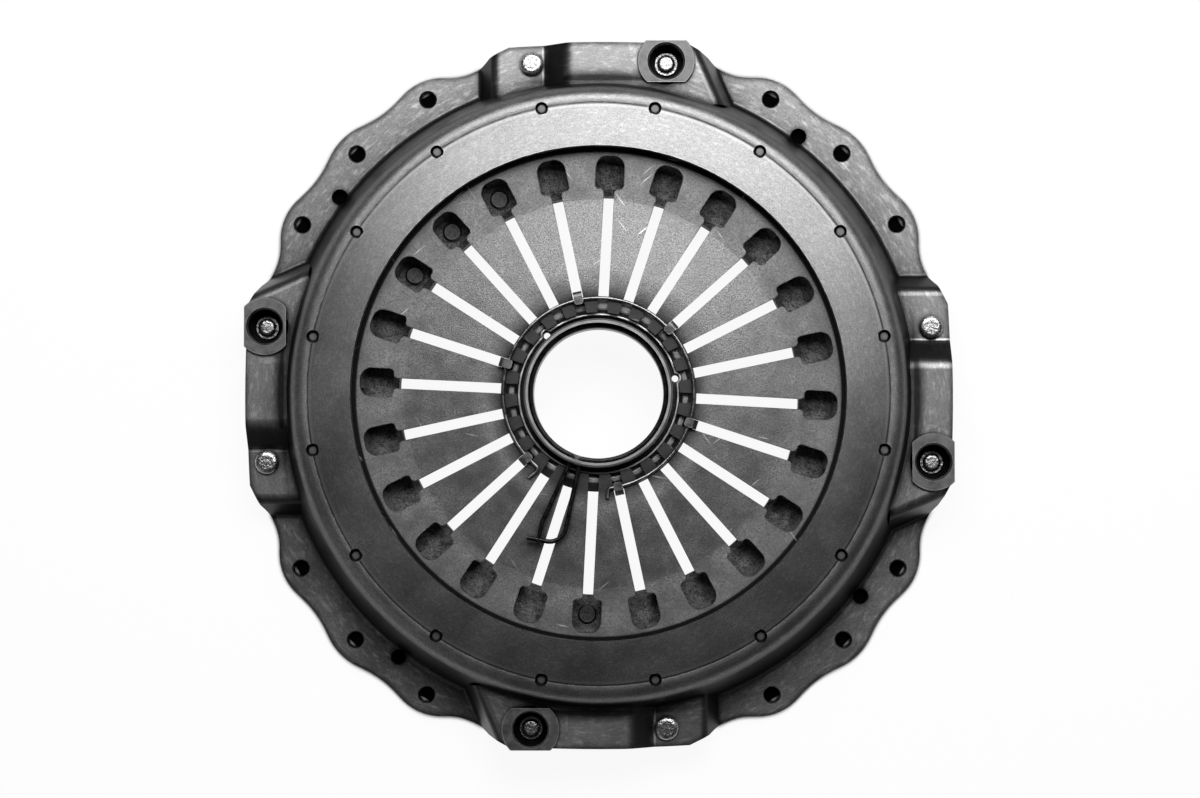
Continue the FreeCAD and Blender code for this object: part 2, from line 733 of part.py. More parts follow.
def rivet_shape(tail_radius, tail_bottom, joint_bottom, joint_top, head_radius, head_top):
    """A closed rivet: tail, shank and domed head, turned about its own axis."""
    crown_height = (head_top - joint_top) * 0.45
    section = [
        Vector(0, 0, tail_bottom), Vector(tail_radius * 0.85, 0, tail_bottom),
        Vector(tail_radius, 0, (tail_bottom + joint_bottom) / 2),
        Vector(tail_radius, 0, joint_bottom),
        Vector(float(rivet_shank_radius), 0, joint_bottom),
        Vector(float(rivet_shank_radius), 0, joint_top),
        Vector(head_radius, 0, joint_top), Vector(head_radius, 0, head_top - crown_height),
    ]
    rim = section[-1]
    edges = Part.makePolygon(section).Edges
    top = Vector(0, 0, head_top)
    shoulder = Vector(head_radius * 0.8, 0, head_top - crown_height * 0.25)
    edges.append(Part.Arc(rim, shoulder, Vector(head_radius * 0.5, 0, head_top - 0.05)).toShape())
    edges.append(Part.makeLine(Vector(head_radius * 0.5, 0, head_top - 0.05), top))
    edges.append(Part.makeLine(top, section[0]))
    face = Part.Face(Part.Wire(edges))
    return face.revolve(Vector(0, 0, 0), Vector(0, 0, 1), 360)


def at_straps(shape, side):
    """One copy of a shape at the strap hole of each land, on one side of its middle."""
    placed = shape.copy()
    placed.translate(Vector(side * float(strap_place), float(strap_line), 0))
    return Part.makeCompound([turned(placed, 90 * i) for i in range(LAND_COUNT)])


# Cover rivets. They close the fixed end of each strap pack against the rivet pad.
cover_rivet = rivet_shape(
    float(rivet_tail_radius), float(strap_bottom - rivet_tail_height), float(strap_bottom),
    float(pad_height), float(cover_rivet_head_radius), float(pad_height + cover_rivet_head_height))
hung("cover_rivets", at_straps(cover_rivet, -1))

# Pressure plate. Grey iron ring with the fulcrum bead and four strap lugs.
half_crest = fulcrum_width / 2
half_foot = fulcrum_foot_width / 2
crest_fall = fulcrum_width * 0.15
plate = turned_body("pressure_plate", [
    (plate_inner_radius, friction_height),
    (plate_outer_radius, friction_height),
    (plate_outer_radius, friction_height + plate_edge * 1.5),
    (plate_outer_radius - plate_draft, plate_top - plate_edge),
    (plate_outer_radius - plate_draft - plate_edge, plate_top),
    (fulcrum_radius + half_foot, plate_top),
    (fulcrum_radius + half_crest, fulcrum_top - crest_fall * 2),
    (fulcrum_radius + half_crest * 0.6, fulcrum_top - crest_fall / 2),
    (fulcrum_radius, fulcrum_top),
    (fulcrum_radius - half_crest * 0.6, fulcrum_top - crest_fall / 2),
    (fulcrum_radius - half_crest, fulcrum_top - crest_fall * 2),
    (fulcrum_radius - half_foot, plate_top),
    (plate_inner_radius + plate_edge * 2, plate_top - plate_edge),
    (plate_inner_radius, plate_top - plate_edge * 3),
])
notch = flat_sketch(plate, "fulcrum_notch", "YZ_Plane")
half_notch = fulcrum_notch_width / 2
outline(notch, [
    (-half_notch, plate_top + plate_edge), (half_notch, plate_top + plate_edge),
    (half_notch, fulcrum_top + plate_edge), (-half_notch, fulcrum_top + plate_edge),
])
notch_cut = plate.newObject("PartDesign::Pocket", "fulcrum_notch_cut")
notch_cut.Profile = notch
notch_cut.Type = 1
notch_cut.Midplane = True
notch.Visibility = False
doc.recompute()
repeat(plate, notch_cut, FULCRUM_NOTCH_COUNT)
lug = flat_sketch(plate, "strap_lug", "XY_Plane")
outline(lug, [
    (strap_place - lug_radius, lug_root_radius - lug_radius),
    (strap_place + lug_radius, lug_root_radius - lug_radius),
    (strap_place + lug_radius, strap_line),
    (strap_place + lug_radius * 0.707, strap_line + lug_radius * 0.707),
    (strap_place + lug_radius * 0.3, strap_line + lug_radius),
    (strap_place - lug_radius * 0.3, strap_line + lug_radius),
    (strap_place - lug_radius * 0.707, strap_line + lug_radius * 0.707),
    (strap_place - lug_radius, strap_line),
])
circle(lug, strap_place, strap_line, rivet_shank_radius + rivet_clearance)
lug.AttachmentOffset = Placement(Vector(0, 0, float(lug_bottom)), Rotation())
lug.setExpression("AttachmentOffset.Base.z", lug_bottom.formula)
lug_pad = plate.newObject("PartDesign::Pad", "strap_lug_pad")
lug_pad.Profile = lug
lug_pad.Length = float(lug_thick)
lug_pad.setExpression("Length", lug_thick.formula)
lug.Visibility = False
doc.recompute()
repeat(plate, lug_pad, LAND_COUNT)
balance_seat = plate_top - plate_edge / 2
balance_floor = balance_seat - balance_head_height * 2


def blind_bores(body, name, radius, floor):
    """Round bores at the balance rivets, cut upwards from their floor."""
    bores = flat_sketch(body, name, "XY_Plane")
    for degrees in BALANCE_ANGLES:
        turn = math.radians(degrees)
        circle(bores, balance_radius * math.cos(turn), balance_radius * math.sin(turn), radius)
    bores.AttachmentOffset = Placement(Vector(0, 0, float(floor)), Rotation())
    bores.setExpression("AttachmentOffset.Base.z", floor.formula)
    before = body.Shape.Volume
    bore_cut = body.newObject("PartDesign::Pocket", name + "_cut")
    bore_cut.Profile = bores
    bore_cut.Type = 1
    bore_cut.Reversed = True
    bores.Visibility = False
    doc.recompute()
    if body.Shape.Volume > before - 1:
        raise ValueError(name + " cuts nothing")


bore_radius = balance_shank_radius + rivet_clearance
sink_radius = balance_head_radius + rivet_clearance
blind_bores(plate, "balance_bores", bore_radius, balance_floor - seat_gap)
blind_bores(plate, "balance_sinks", sink_radius, balance_seat - seat_gap)

# Lift cups. Drawn steel cups riveted to the lugs; their flanges stop on the cover lands.
cup_floor = strap_top
cup_wall_radius = cup_bore_radius + cup_sheet
for number in range(LAND_COUNT):
    cup_name = "lift_cup_%d" % (number + 1)
    cup = turned_body(cup_name, [
        (rivet_shank_radius + rivet_clearance, cup_floor),
        (cup_wall_radius - cup_bend, cup_floor),
        (cup_wall_radius, cup_floor + cup_bend),
        (cup_wall_radius, land_height),
        (cup_flange_radius, land_height),
        (cup_flange_radius, land_height + cup_sheet - cup_bend * 0.4),
        (cup_flange_radius - cup_bend * 0.4, land_height + cup_sheet),
        (cup_bore_radius + cup_bend, land_height + cup_sheet),
        (cup_bore_radius, land_height + cup_sheet - cup_bend),
        (cup_bore_radius, cup_floor + cup_sheet),
        (rivet_shank_radius + rivet_clearance, cup_floor + cup_sheet),
    ])
    for side, edge in ((1, "outer"), (-1, "inner")):
        flat = flat_sketch(cup, "%s_%s_flat" % (cup_name, edge), "XY_Plane")
        outline(flat, [
            (-cup_flange_radius * 1.1, cup_flat * side),
            (cup_flange_radius * 1.1, cup_flat * side),
            (cup_flange_radius * 1.1, cup_flange_radius * 1.1 * side),
            (-cup_flange_radius * 1.1, cup_flange_radius * 1.1 * side),
        ])
        cut_through(cup, flat, 1)
    turn = math.radians(90 * number)
    across = float(strap_place) * math.cos(turn) - float(strap_line) * math.sin(turn)
    up = float(strap_place) * math.sin(turn) + float(strap_line) * math.cos(turn)
    cup.Placement = Placement(Vector(across, up, 0), Rotation(Vector(0, 0, 1), 90 * number))

# Plate rivets and the washers under their heads, down inside the cups.
washer_bottom = cup_floor + cup_sheet
washer_top = washer_bottom + washer_thick
plate_rivet = rivet_shape(
    float(rivet_tail_radius), float(lug_bottom - rivet_tail_height), float(lug_bottom),
    float(washer_top), float(plate_rivet_head_radius), float(washer_top + plate_rivet_head_height))
hung("plate_rivets", at_straps(plate_rivet, 1))
washer_foot = Vector(0, 0, float(washer_bottom))
washer = Part.makeCylinder(float(washer_radius), float(washer_thick), washer_foot)
washer_hole = Part.makeCylinder(
    float(rivet_shank_radius + rivet_clearance), float(washer_thick) + 2,
    Vector(0, 0, float(washer_bottom) - 1))
washer = washer.cut(washer_hole)
hung("plate_rivet_washers", at_straps(washer, 1))

# Balance rivets, set into the back of the plate below the finger windows.
balance_rivets = []
for degrees in BALANCE_ANGLES:
    shank = Part.makeCylinder(
        float(balance_shank_radius), float(balance_seat - balance_floor),
        polar(balance_radius, degrees, balance_floor))
    head = Part.makeCone(
        float(balance_head_radius), float(balance_head_radius) * 0.8, float(balance_head_height),
        polar(balance_radius, degrees, balance_seat))
    balance_rivets.append(shank.fuse(head).removeSplitter())
hung("balance_rivets", Part.makeCompound(balance_rivets))

# Thrust ring. Turned ring whose rounded crest lifts the finger tips from below.
thrust = turned_body("thrust_ring", [
    (thrust_bore_radius, thrust_bottom),
    (thrust_outer_radius, thrust_bottom),
    (thrust_outer_radius, thrust_bottom + thrust_height * 0.45),
    (thrust_crest_radius + thrust_crest_width / 2, thrust_top),
    (thrust_crest_radius - thrust_crest_width / 2, thrust_top),
    (thrust_bore_radius, thrust_bottom + thrust_height * 0.6),
])
crest_edges = []
sharp_ring = thrust.Tip
for i, edge in enumerate(sharp_ring.Shape.Edges):
    if abs(edge.BoundBox.ZMin - float(thrust_top)) < 0.01 and edge.Length > float(thrust_bore_radius):
        crest_edges.append("Edge%d" % (i + 1))
crest = thrust.newObject("PartDesign::Fillet", "thrust_crest")
crest.Base = (sharp_ring, crest_edges)
crest.Radius = float(thrust_crest_bend)
crest.setExpression("Radius", thrust_crest_bend.formula)
thrust.Tip = crest
doc.recompute()
relief = flat_sketch(thrust, "thrust_relief", "XY_Plane")
hub_hole_turn = math.radians(LEG_MIDDLE - 240)
hole_across = drain_circle_radius * math.cos(hub_hole_turn)
hole_up = drain_circle_radius * math.sin(hub_hole_turn)
circle(relief, hole_across, hole_up, relief_radius)
cut_through(thrust, relief, HUB_HOLE_COUNT)

# Bearing sleeve. The release bearing slides into its bore and locks under the snap ring.
sleeve = turned_body("bearing_sleeve", [
    (sleeve_bore_radius, sleeve_bottom),
    (sleeve_flange_radius, sleeve_bottom),
    (sleeve_flange_radius, thrust_bottom),
    (sleeve_outer_radius, thrust_bottom),
    (sleeve_outer_radius, sleeve_top - claw_fold),
    (sleeve_outer_radius - claw_fold, sleeve_top),
    (sleeve_mouth_radius, sleeve_top),
    (sleeve_mouth_radius, snap_seat),
    (sleeve_bore_radius, snap_seat),
])
drain = flat_sketch(sleeve, "sleeve_drain", "XY_Plane")
circle(drain, hole_across, hole_up, drain_hole_radius - seat_gap)
cut_through(sleeve, drain, HUB_HOLE_COUNT)
window = flat_sketch(sleeve, "leg_window", "YZ_Plane")
half_leg_window = leg_window_length / 2
leg_window_high = snap_height + snap_wire_radius + snap_leg_clearance
outline(window, [
    (-half_leg_window, snap_seat), (half_leg_window, snap_seat),
    (half_leg_window, leg_window_high), (-half_leg_window, leg_window_high),
])
window.AttachmentOffset = Placement(Vector(0, 0, 0), Rotation(Vector(0, 1, 0), LEG_MIDDLE - 300))
window_cut = sleeve.newObject("PartDesign::Pocket", "leg_window_cut")
window_cut.Profile = window
window_cut.Type = 1
window_cut.Midplane = False
window_cut.Reversed = False
window.Visibility = False
doc.recompute()
repeat(sleeve, window_cut, HUB_HOLE_COUNT)

# Claw ring. Pressed ring below the sleeve flange, with six claws folded over the clamp wire.
claw_line = [
    Vector(float(claw_bore_radius), 0, float(claw_ring_middle)),
    Vector(float(claw_outer_radius - claw_sheet / 2), 0, float(claw_ring_middle)),
    Vector(float(claw_outer_radius - claw_sheet / 2), 0, float(claw_top_middle)),
    Vector(float(claw_reach_radius), 0, float(claw_top_middle)),
]
claw_bends = [0, float(claw_fold), float(claw_fold), 0]
claw_face = bent_sheet(claw_line, claw_bends, float(claw_sheet))
claw_face.translate(Vector(0, -float(claw_width) / 2, 0))
claw = claw_face.extrude(Vector(0, float(claw_width), 0))
claw_tip_edges = []
for edge in claw.Edges:
    box = edge.BoundBox
    if box.XMax < float(claw_reach_radius) + 0.01 and box.ZLength > 1 and box.ZMin > float(tip_top):
        claw_tip_edges.append(edge)
claw = claw.makeFillet(float(claw_corner), claw_tip_edges)
ring_height = float(claw_ring_middle - claw_sheet / 2)
claw_ring = Part.makeCylinder(
    float(claw_outer_radius) - 2 * float(claw_sheet), float(claw_sheet), Vector(0, 0, ring_height))
claw_bore = Part.makeCylinder(
    float(claw_bore_radius), 3 * float(claw_sheet), Vector(0, 0, ring_height - 2))
claw_ring = claw_ring.fuse(around(claw, CLAW_COUNT, FIRST_CLAW))
claw_drains = []
for degrees in (LEG_MIDDLE + 120, LEG_MIDDLE + 240):
    claw_drains.append(Part.makeCylinder(
        float(drain_hole_radius - seat_gap), 3 * float(claw_sheet),
        polar(drain_circle_radius, degrees, ring_height - 2)))
claw_ring = claw_ring.cut([claw_bore] + claw_drains)
hung("claw_ring", claw_ring.removeSplitter())


def run(start, heading, moves):
    """Edges of a bent wire in one plane: moves are (length,) or (radius, degrees to the left)."""
    edges = []
    spot = start
    for move in moves:
        way = polar(1, heading)
        if len(move) == 1:
            after = spot + way * move[0]
            edges.append(Part.makeLine(spot, after))
        else:
            radius, degrees = move
            side = 90 if degrees > 0 else -90
            centre = spot + polar(radius, heading + side)
            middle = centre + polar(radius, heading - side + degrees / 2)
            after = centre + polar(radius, heading - side + degrees)
            edges.append(Part.Arc(spot, middle, after).toShape())
            heading += degrees
        spot = after
    return edges, spot, heading


def round_wire(edges, radius, start, heading):
    """A round wire swept along its edges from the start."""
    path = Part.Wire(Part.__sortEdges__(edges))
    section = Part.Wire(Part.makeCircle(float(radius), start, polar(1, heading)))
    return path.makePipeShell([section], True, False)


# Clamp wire. Open wire ring that lies on the finger tips under the claws, ends bent outwards.
clamp_start = polar(clamp_circle_radius, CLAMP_START, clamp_height)
right_hook, hook_end, hook_heading = run(clamp_start, CLAMP_START - 90, [
    (float(clamp_right_bend), RIGHT_HOOK_TURN), (float(clamp_right_hook),)])
clamp_sweep = CLAMP_END + 360 - CLAMP_START
clamp_ring, ring_end, ring_heading = run(
    clamp_start, CLAMP_START + 90, [(float(clamp_circle_radius), clamp_sweep)])
left_hook = run(ring_end, ring_heading, [
    (float(clamp_left_bend), -LEFT_HOOK_TURN), (float(clamp_left_hook),)])[0]
clamp_edges = right_hook + clamp_ring + left_hook
hung("clamp_wire", round_wire(clamp_edges, clamp_wire_radius, hook_end, hook_heading + 180))

# Snap ring. Open wire ring in the mouth of the sleeve; its legs pass out over the fingers.
snap_circle = float(sleeve_mouth_radius - snap_wire_radius - snap_side_clearance)
left_start = polar(snap_circle, LEG_MIDDLE - LEG_HALF_SPREAD, snap_height)
right_start = polar(snap_circle, LEG_MIDDLE + LEG_HALF_SPREAD, snap_height)
left_way = LEG_MIDDLE - LEG_HALF_SPREAD + 90
right_way = LEG_MIDDLE + LEG_HALF_SPREAD - 90
left_leg, left_end, left_heading = run(left_start, left_way, [
    (float(snap_leg_bend), -90), (float(snap_left_run),),
    (float(snap_left_kink), LEFT_LEG_KINK), (float(snap_left_end),)])
right_leg = run(right_start, right_way, [
    (float(snap_leg_bend), 90), (float(snap_right_run),),
    (float(snap_right_corner), -CROSSBAR_TURN), (float(snap_crossbar),)])[0]
snap_sweep = 360 - 2 * LEG_HALF_SPREAD
snap_loop = run(left_start, left_way - 180, [(snap_circle, -snap_sweep)])[0]
snap_path = left_leg + snap_loop + right_leg
hung("snap_ring", round_wire(snap_path, snap_wire_radius, left_end, left_heading + 180))

doc.recompute()
for feature in doc.Objects:
    if "Invalid" in feature.State or "Error" in feature.State:
        raise ValueError("%s is in state %s" % (feature.Name, feature.State))
for feature in sub_parts:
    if feature.Shape.isNull() or not feature.Shape.isValid():
        raise ValueError("%s has no valid shape" % feature.Label)
    if feature.Shape.Volume <= 0:
        raise ValueError("%s has no volume" % feature.Label)

os.makedirs("parts", exist_ok=True)
facets = 0
for feature in sub_parts:
    feature.Shape.exportStep("parts/%s.step" % feature.Label)
    count = len(feature.Shape.tessellate(0.5)[1])
    facets += count
    print("%-24s %2d solids %6d facets" % (feature.Label, len(feature.Shape.Solids), count))
print("%d sub-parts, %d facets" % (len(sub_parts), facets))
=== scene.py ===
import math

import bpy
from mathutils import Matrix, Vector


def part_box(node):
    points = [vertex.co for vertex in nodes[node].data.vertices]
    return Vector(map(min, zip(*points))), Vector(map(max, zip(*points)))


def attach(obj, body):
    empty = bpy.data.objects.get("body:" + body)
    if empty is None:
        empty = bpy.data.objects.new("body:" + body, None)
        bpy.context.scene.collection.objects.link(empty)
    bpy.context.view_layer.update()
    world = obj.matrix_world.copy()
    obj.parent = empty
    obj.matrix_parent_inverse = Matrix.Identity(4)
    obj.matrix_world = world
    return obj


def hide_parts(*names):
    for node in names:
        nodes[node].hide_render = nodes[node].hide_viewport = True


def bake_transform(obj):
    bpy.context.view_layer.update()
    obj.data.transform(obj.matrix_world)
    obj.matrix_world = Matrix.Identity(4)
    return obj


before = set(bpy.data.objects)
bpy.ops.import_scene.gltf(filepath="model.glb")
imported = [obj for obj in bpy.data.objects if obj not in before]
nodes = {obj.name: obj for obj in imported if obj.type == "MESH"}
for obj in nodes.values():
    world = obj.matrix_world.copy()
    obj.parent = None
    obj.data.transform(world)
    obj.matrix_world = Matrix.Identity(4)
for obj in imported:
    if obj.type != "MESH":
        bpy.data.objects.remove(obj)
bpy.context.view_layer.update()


# Studio: the cover lies face up on white paper, under one wide soft lamp beyond its top edge and a
# weak one from the lower left. The walls are white and the ceiling is dark grey.
def add_node(tree, kind, inputs=None, **settings):
    """A shader node with its settings, and its inputs set to a value or linked. A node given as an
    input stands for its first output in use."""
    made = tree.nodes.new(kind)
    for name, value in settings.items():
        setattr(made, name, value)
    for name, value in (inputs or {}).items():
        if isinstance(value, bpy.types.Node):
            value = next(socket for socket in value.outputs if socket.enabled)
        if isinstance(value, bpy.types.NodeSocket):
            tree.links.new(value, made.inputs[name])
        else:
            made.inputs[name].default_value = value
    return made


def linear(colour):
    """The linear RGBA of an sRGB colour such as #8a8c8e."""
    channels = [int(colour[i:i + 2], 16) / 255 for i in (1, 3, 5)]
    return [c / 12.92 if c <= 0.04045 else ((c + 0.055) / 1.055) ** 2.4 for c in channels] + [1.0]


def softbox(name, place, width, depth, strength, aim=(0.0, 0.0, 0.04)):
    """A rectangular area lamp that faces the object."""
    lamp = bpy.data.lights.new(name, "AREA")
    lamp.shape = "RECTANGLE"
    lamp.size = width
    lamp.size_y = depth
    lamp.energy = strength
    holder = bpy.data.objects.new(name, lamp)
    holder.location = place
    holder.rotation_euler = (Vector(aim) - Vector(place)).to_track_quat("-Z", "Y").to_euler()
    holder.visible_camera = False
    bpy.context.scene.collection.objects.link(holder)


def in_view(tree):
    """1 for what the camera, a mirror image or a look through glass shows, and 0 for cast light."""
    rays = add_node(tree, "ShaderNodeLightPath")
    seen = rays.outputs["Is Camera Ray"]
    for ray in ("Is Glossy Ray", "Is Transmission Ray"):
        seen = add_node(tree, "ShaderNodeMath", {0: seen, 1: rays.outputs[ray]},
                        operation="MAXIMUM")
    return seen


def radius_of(tree, at):
    """The distance from the axis, in metres."""
    flat = add_node(tree, "ShaderNodeVectorMath", {0: at, 1: (1.0, 1.0, 0.0)}, operation="MULTIPLY")
    return add_node(tree, "ShaderNodeVectorMath", {0: flat}, operation="LENGTH")


def by_radius(tree, at, none, full):
    """0 up to the first distance from the axis and 1 from the second, in metres."""
    return add_node(tree, "ShaderNodeMapRange", {
        "Value": radius_of(tree, at), "From Min": none, "From Max": full})


bpy.ops.object.select_all(action="DESELECT")
scene = bpy.context.scene
scene.view_settings.view_transform = "Standard"
softbox("key_softbox", (0.14, 0.82, 1.35), 1.5, 0.8, 33.0)
softbox("fill_softbox", (-1.6, -1.3, 1.7), 1.2, 1.2, 2.5)

wall_end = 0.02
ceiling_start = 0.30
cast_strength = 0.08
world = bpy.data.worlds.new("studio")
scene.world = world
world.use_nodes = True
room = world.node_tree
room.nodes.clear()
look = add_node(room, "ShaderNodeTexCoord")
height = add_node(room, "ShaderNodeSeparateXYZ", {"Vector": look.outputs["Generated"]})
wall_or_ceiling = add_node(room, "ShaderNodeMapRange", {
    "Value": height.outputs["Z"], "From Min": wall_end, "From Max": ceiling_start})
paint = add_node(room, "ShaderNodeMix", {
    "Factor": wall_or_ceiling, "A": linear("#ffffff"), "B": linear("#404040")}, data_type="RGBA")
shown = add_node(room, "ShaderNodeBackground", {"Color": paint, "Strength": 1.0})
felt = add_node(room, "ShaderNodeBackground", {
    "Color": linear("#ffffff"), "Strength": cast_strength})
either = add_node(room, "ShaderNodeMixShader", {"Fac": in_view(room), 1: felt, 2: shown})
add_node(room, "ShaderNodeOutputWorld", {"Surface": either})

# The paper is white where it is open to the camera, and in deep shade under the cover.
paper_white = 0.93
bore_edge = (0.1500, 0.1460)
flange_edge = (0.2405, 0.2420)
bpy.ops.mesh.primitive_plane_add(size=9.0, location=(0.0, 0.0, -0.0004))
floor = bpy.context.object
floor.name = "floor"
floor_paper = bpy.data.materials.new("white studio paper")
floor_paper.use_nodes = True
paper = floor_paper.node_tree
paper.nodes.clear()
paper_at = add_node(paper, "ShaderNodeTexCoord").outputs["Object"]
in_bore = by_radius(paper, paper_at, *bore_edge)
past_flange = by_radius(paper, paper_at, *flange_edge)
uncovered = add_node(paper, "ShaderNodeMath", {0: in_bore, 1: past_flange}, operation="MAXIMUM")
beside = add_node(paper, "ShaderNodeAmbientOcclusion", {"Distance": 0.006}, samples=12)
clear = add_node(paper, "ShaderNodeMapRange", {
    "Value": beside.outputs["AO"], "From Min": 0.55, "From Max": 0.75, "To Max": paper_white})
paper_clear = add_node(paper, "ShaderNodeMath", {0: clear, 1: uncovered}, operation="MULTIPLY")
paper_bore = add_node(paper, "ShaderNodeMath", {0: in_bore, 1: paper_white}, operation="MULTIPLY")
paper_open = add_node(paper, "ShaderNodeMath", {0: paper_clear, 1: paper_bore}, operation="MAXIMUM")
paper_share = add_node(paper, "ShaderNodeMath", {0: in_view(paper), 1: paper_open},
                       operation="MULTIPLY")
paper_shade = add_node(paper, "ShaderNodeMix", {
    "Factor": paper_open, "A": linear("#050505"), "B": linear("#ffffff")}, data_type="RGBA")
paper_lit = add_node(paper, "ShaderNodeBsdfDiffuse", {"Color": paper_shade})
paper_bright = add_node(paper, "ShaderNodeEmission", {"Color": linear("#ffffff"), "Strength": 1.0})
paper_both = add_node(paper, "ShaderNodeMixShader", {
    "Fac": paper_share, 1: paper_lit, 2: paper_bright})
add_node(paper, "ShaderNodeOutputMaterial", {"Surface": paper_both})
floor.data.materials.append(floor_paper)

# Camera: straight above the hub and a hand's width towards the lower edge, at the photograph's
# distance, with the lens that gives its perspective.
picture_width = 1200
focal_pixels = 3186
camera_place = Vector((0.0265, -0.086, 2.2045))
camera_aim = Vector((0.0005, -0.0019, 0.0))
camera_data = bpy.data.cameras.new("camera")
camera_data.sensor_width = 36.0
camera_data.lens = focal_pixels / picture_width * camera_data.sensor_width
camera = bpy.data.objects.new("camera", camera_data)
ahead = (camera_aim - camera_place).normalized()
rightwards = ahead.cross(Vector((0.0, 1.0, 0.0))).normalized()
upwards = rightwards.cross(ahead)
camera.matrix_world = Matrix.Translation(camera_place) @ Matrix(
    (rightwards, upwards, -ahead)).transposed().to_4x4()
scene.collection.objects.link(camera)
scene.camera = camera


# Cover: 5 mm sheet steel, drawn, trimmed and punched in a press. It is phosphated and oiled to a
# satin dark grey, rubbed brighter on the press marks, the lands and every edge that is handled. Its
# walls, outer edges, dimples and crease carry painted shade, and the crease and the land steps
# painted highlights.
def per_metre(millimetres):
    """The scale of a pattern whose marks are that far apart."""
    return 1000 / millimetres


def new_material(name):
    """A material with its tree emptied, and its Object coordinates."""
    material = bpy.data.materials.new(name)
    material.use_nodes = True
    material.node_tree.nodes.clear()
    return material, material.node_tree, add_node(
        material.node_tree, "ShaderNodeTexCoord").outputs["Object"]


def mottle(tree, at, spacing, detail, low=0.35, high=0.65):
    """Soft patches that far apart in millimetres, from 0 to 1."""
    noise = add_node(tree, "ShaderNodeTexNoise", {
        "Vector": at, "Scale": per_metre(spacing), "Detail": detail, "Roughness": 0.6})
    return add_node(tree, "ShaderNodeMapRange", {"Value": noise, "From Min": low, "From Max": high})


def round_streaks(tree, at, spacing, low, high):
    """Faint streaks that run round the axis, that far apart in millimetres."""
    flat = add_node(tree, "ShaderNodeVectorMath", {0: at, 1: (1.0, 1.0, 0.0)}, operation="MULTIPLY")
    way = add_node(tree, "ShaderNodeVectorMath", {0: flat}, operation="NORMALIZE")
    drawn_out = add_node(tree, "ShaderNodeVectorMath", {0: way, 1: (0.07, 0.07, 0.0)},
                         operation="MULTIPLY")
    outwards = add_node(tree, "ShaderNodeCombineXYZ", {"Z": radius_of(tree, at)})
    place = add_node(tree, "ShaderNodeVectorMath", {0: drawn_out, 1: outwards}, operation="ADD")
    return mottle(tree, place, spacing, 5.0, low, high)


def scratches(tree, at, spacing, turn, width, share, slenderness=14.0):
    """Short straight scratches along one direction, that far apart and that wide in millimetres."""
    turned = add_node(tree, "ShaderNodeMapping", {
        "Vector": at, "Rotation": (0.0, 0.0, math.radians(turn)), "Scale": (1.0, slenderness, 5.0)},
        vector_type="TEXTURE")
    cells = add_node(tree, "ShaderNodeTexVoronoi", {
        "Vector": turned, "Scale": per_metre(spacing), "Randomness": 1.0})
    line = add_node(tree, "ShaderNodeMapRange", {
        "Value": cells.outputs["Distance"],
        "From Min": width / spacing, "From Max": 0.3 * width / spacing})
    chance = add_node(tree, "ShaderNodeSeparateColor", {"Color": cells.outputs["Color"]})
    some = add_node(tree, "ShaderNodeMapRange", {
        "Value": chance.outputs["Red"], "From Min": 1.0 - share, "From Max": 1.0})
    return add_node(tree, "ShaderNodeMath", {0: line, 1: some}, operation="MULTIPLY")


def worn_edges(tree, width):
    """1 on the edges and 0 that many millimetres away from them."""
    rounded = add_node(tree, "ShaderNodeBevel", {"Radius": width / 1000}, samples=4)
    face = add_node(tree, "ShaderNodeNewGeometry")
    same = add_node(tree, "ShaderNodeVectorMath", {
        0: rounded, 1: face.outputs["Normal"]}, operation="DOT_PRODUCT")
    return add_node(tree, "ShaderNodeMapRange", {
        "Value": same, "From Min": 0.995, "From Max": 0.86})


def steepness(tree, normal, level, steep):
    """0 where a normal stands as upright as the first value, 1 where it leans to the second."""
    slope = add_node(tree, "ShaderNodeSeparateXYZ", {"Vector": normal})
    return add_node(tree, "ShaderNodeMapRange", {
        "Value": slope.outputs["Z"], "From Min": level, "From Max": steep})


def band(tree, value, start, end, soft=0.5):
    """1 where the value lies between two sizes in millimetres, with soft sides."""
    rise = add_node(tree, "ShaderNodeMapRange", {
        "Value": value, "From Min": (start - soft) / 1000, "From Max": start / 1000})
    fall = add_node(tree, "ShaderNodeMapRange", {
        "Value": value, "From Min": (end + soft) / 1000, "From Max": end / 1000})
    return add_node(tree, "ShaderNodeMath", {0: rise, 1: fall}, operation="MULTIPLY")


def ring_distance(tree, at, circle, count, first):
    """The distance from the nearest of some equal places on a circle, in metres. The first place is
    that many degrees from the X axis."""
    place = add_node(tree, "ShaderNodeSeparateXYZ", {"Vector": at})
    turn = add_node(tree, "ShaderNodeMath", {
        0: place.outputs["Y"], 1: place.outputs["X"]}, operation="ARCTAN2")
    half_step = math.pi / count
    start = math.radians(first)
    nearest = add_node(tree, "ShaderNodeMath", {
        0: turn, 1: start + half_step, 2: start - half_step}, operation="WRAP")
    off_turn = add_node(tree, "ShaderNodeMath", {0: nearest, 1: start}, operation="SUBTRACT")
    radius = radius_of(tree, at)
    off_radius = add_node(tree, "ShaderNodeMath", {0: radius, 1: circle}, operation="SUBTRACT")
    along_ring = add_node(tree, "ShaderNodeMath", {0: radius, 1: off_turn}, operation="MULTIPLY")
    both = add_node(tree, "ShaderNodeCombineXYZ", {"X": along_ring, "Y": off_radius})
    return add_node(tree, "ShaderNodeVectorMath", {0: both}, operation="LENGTH")


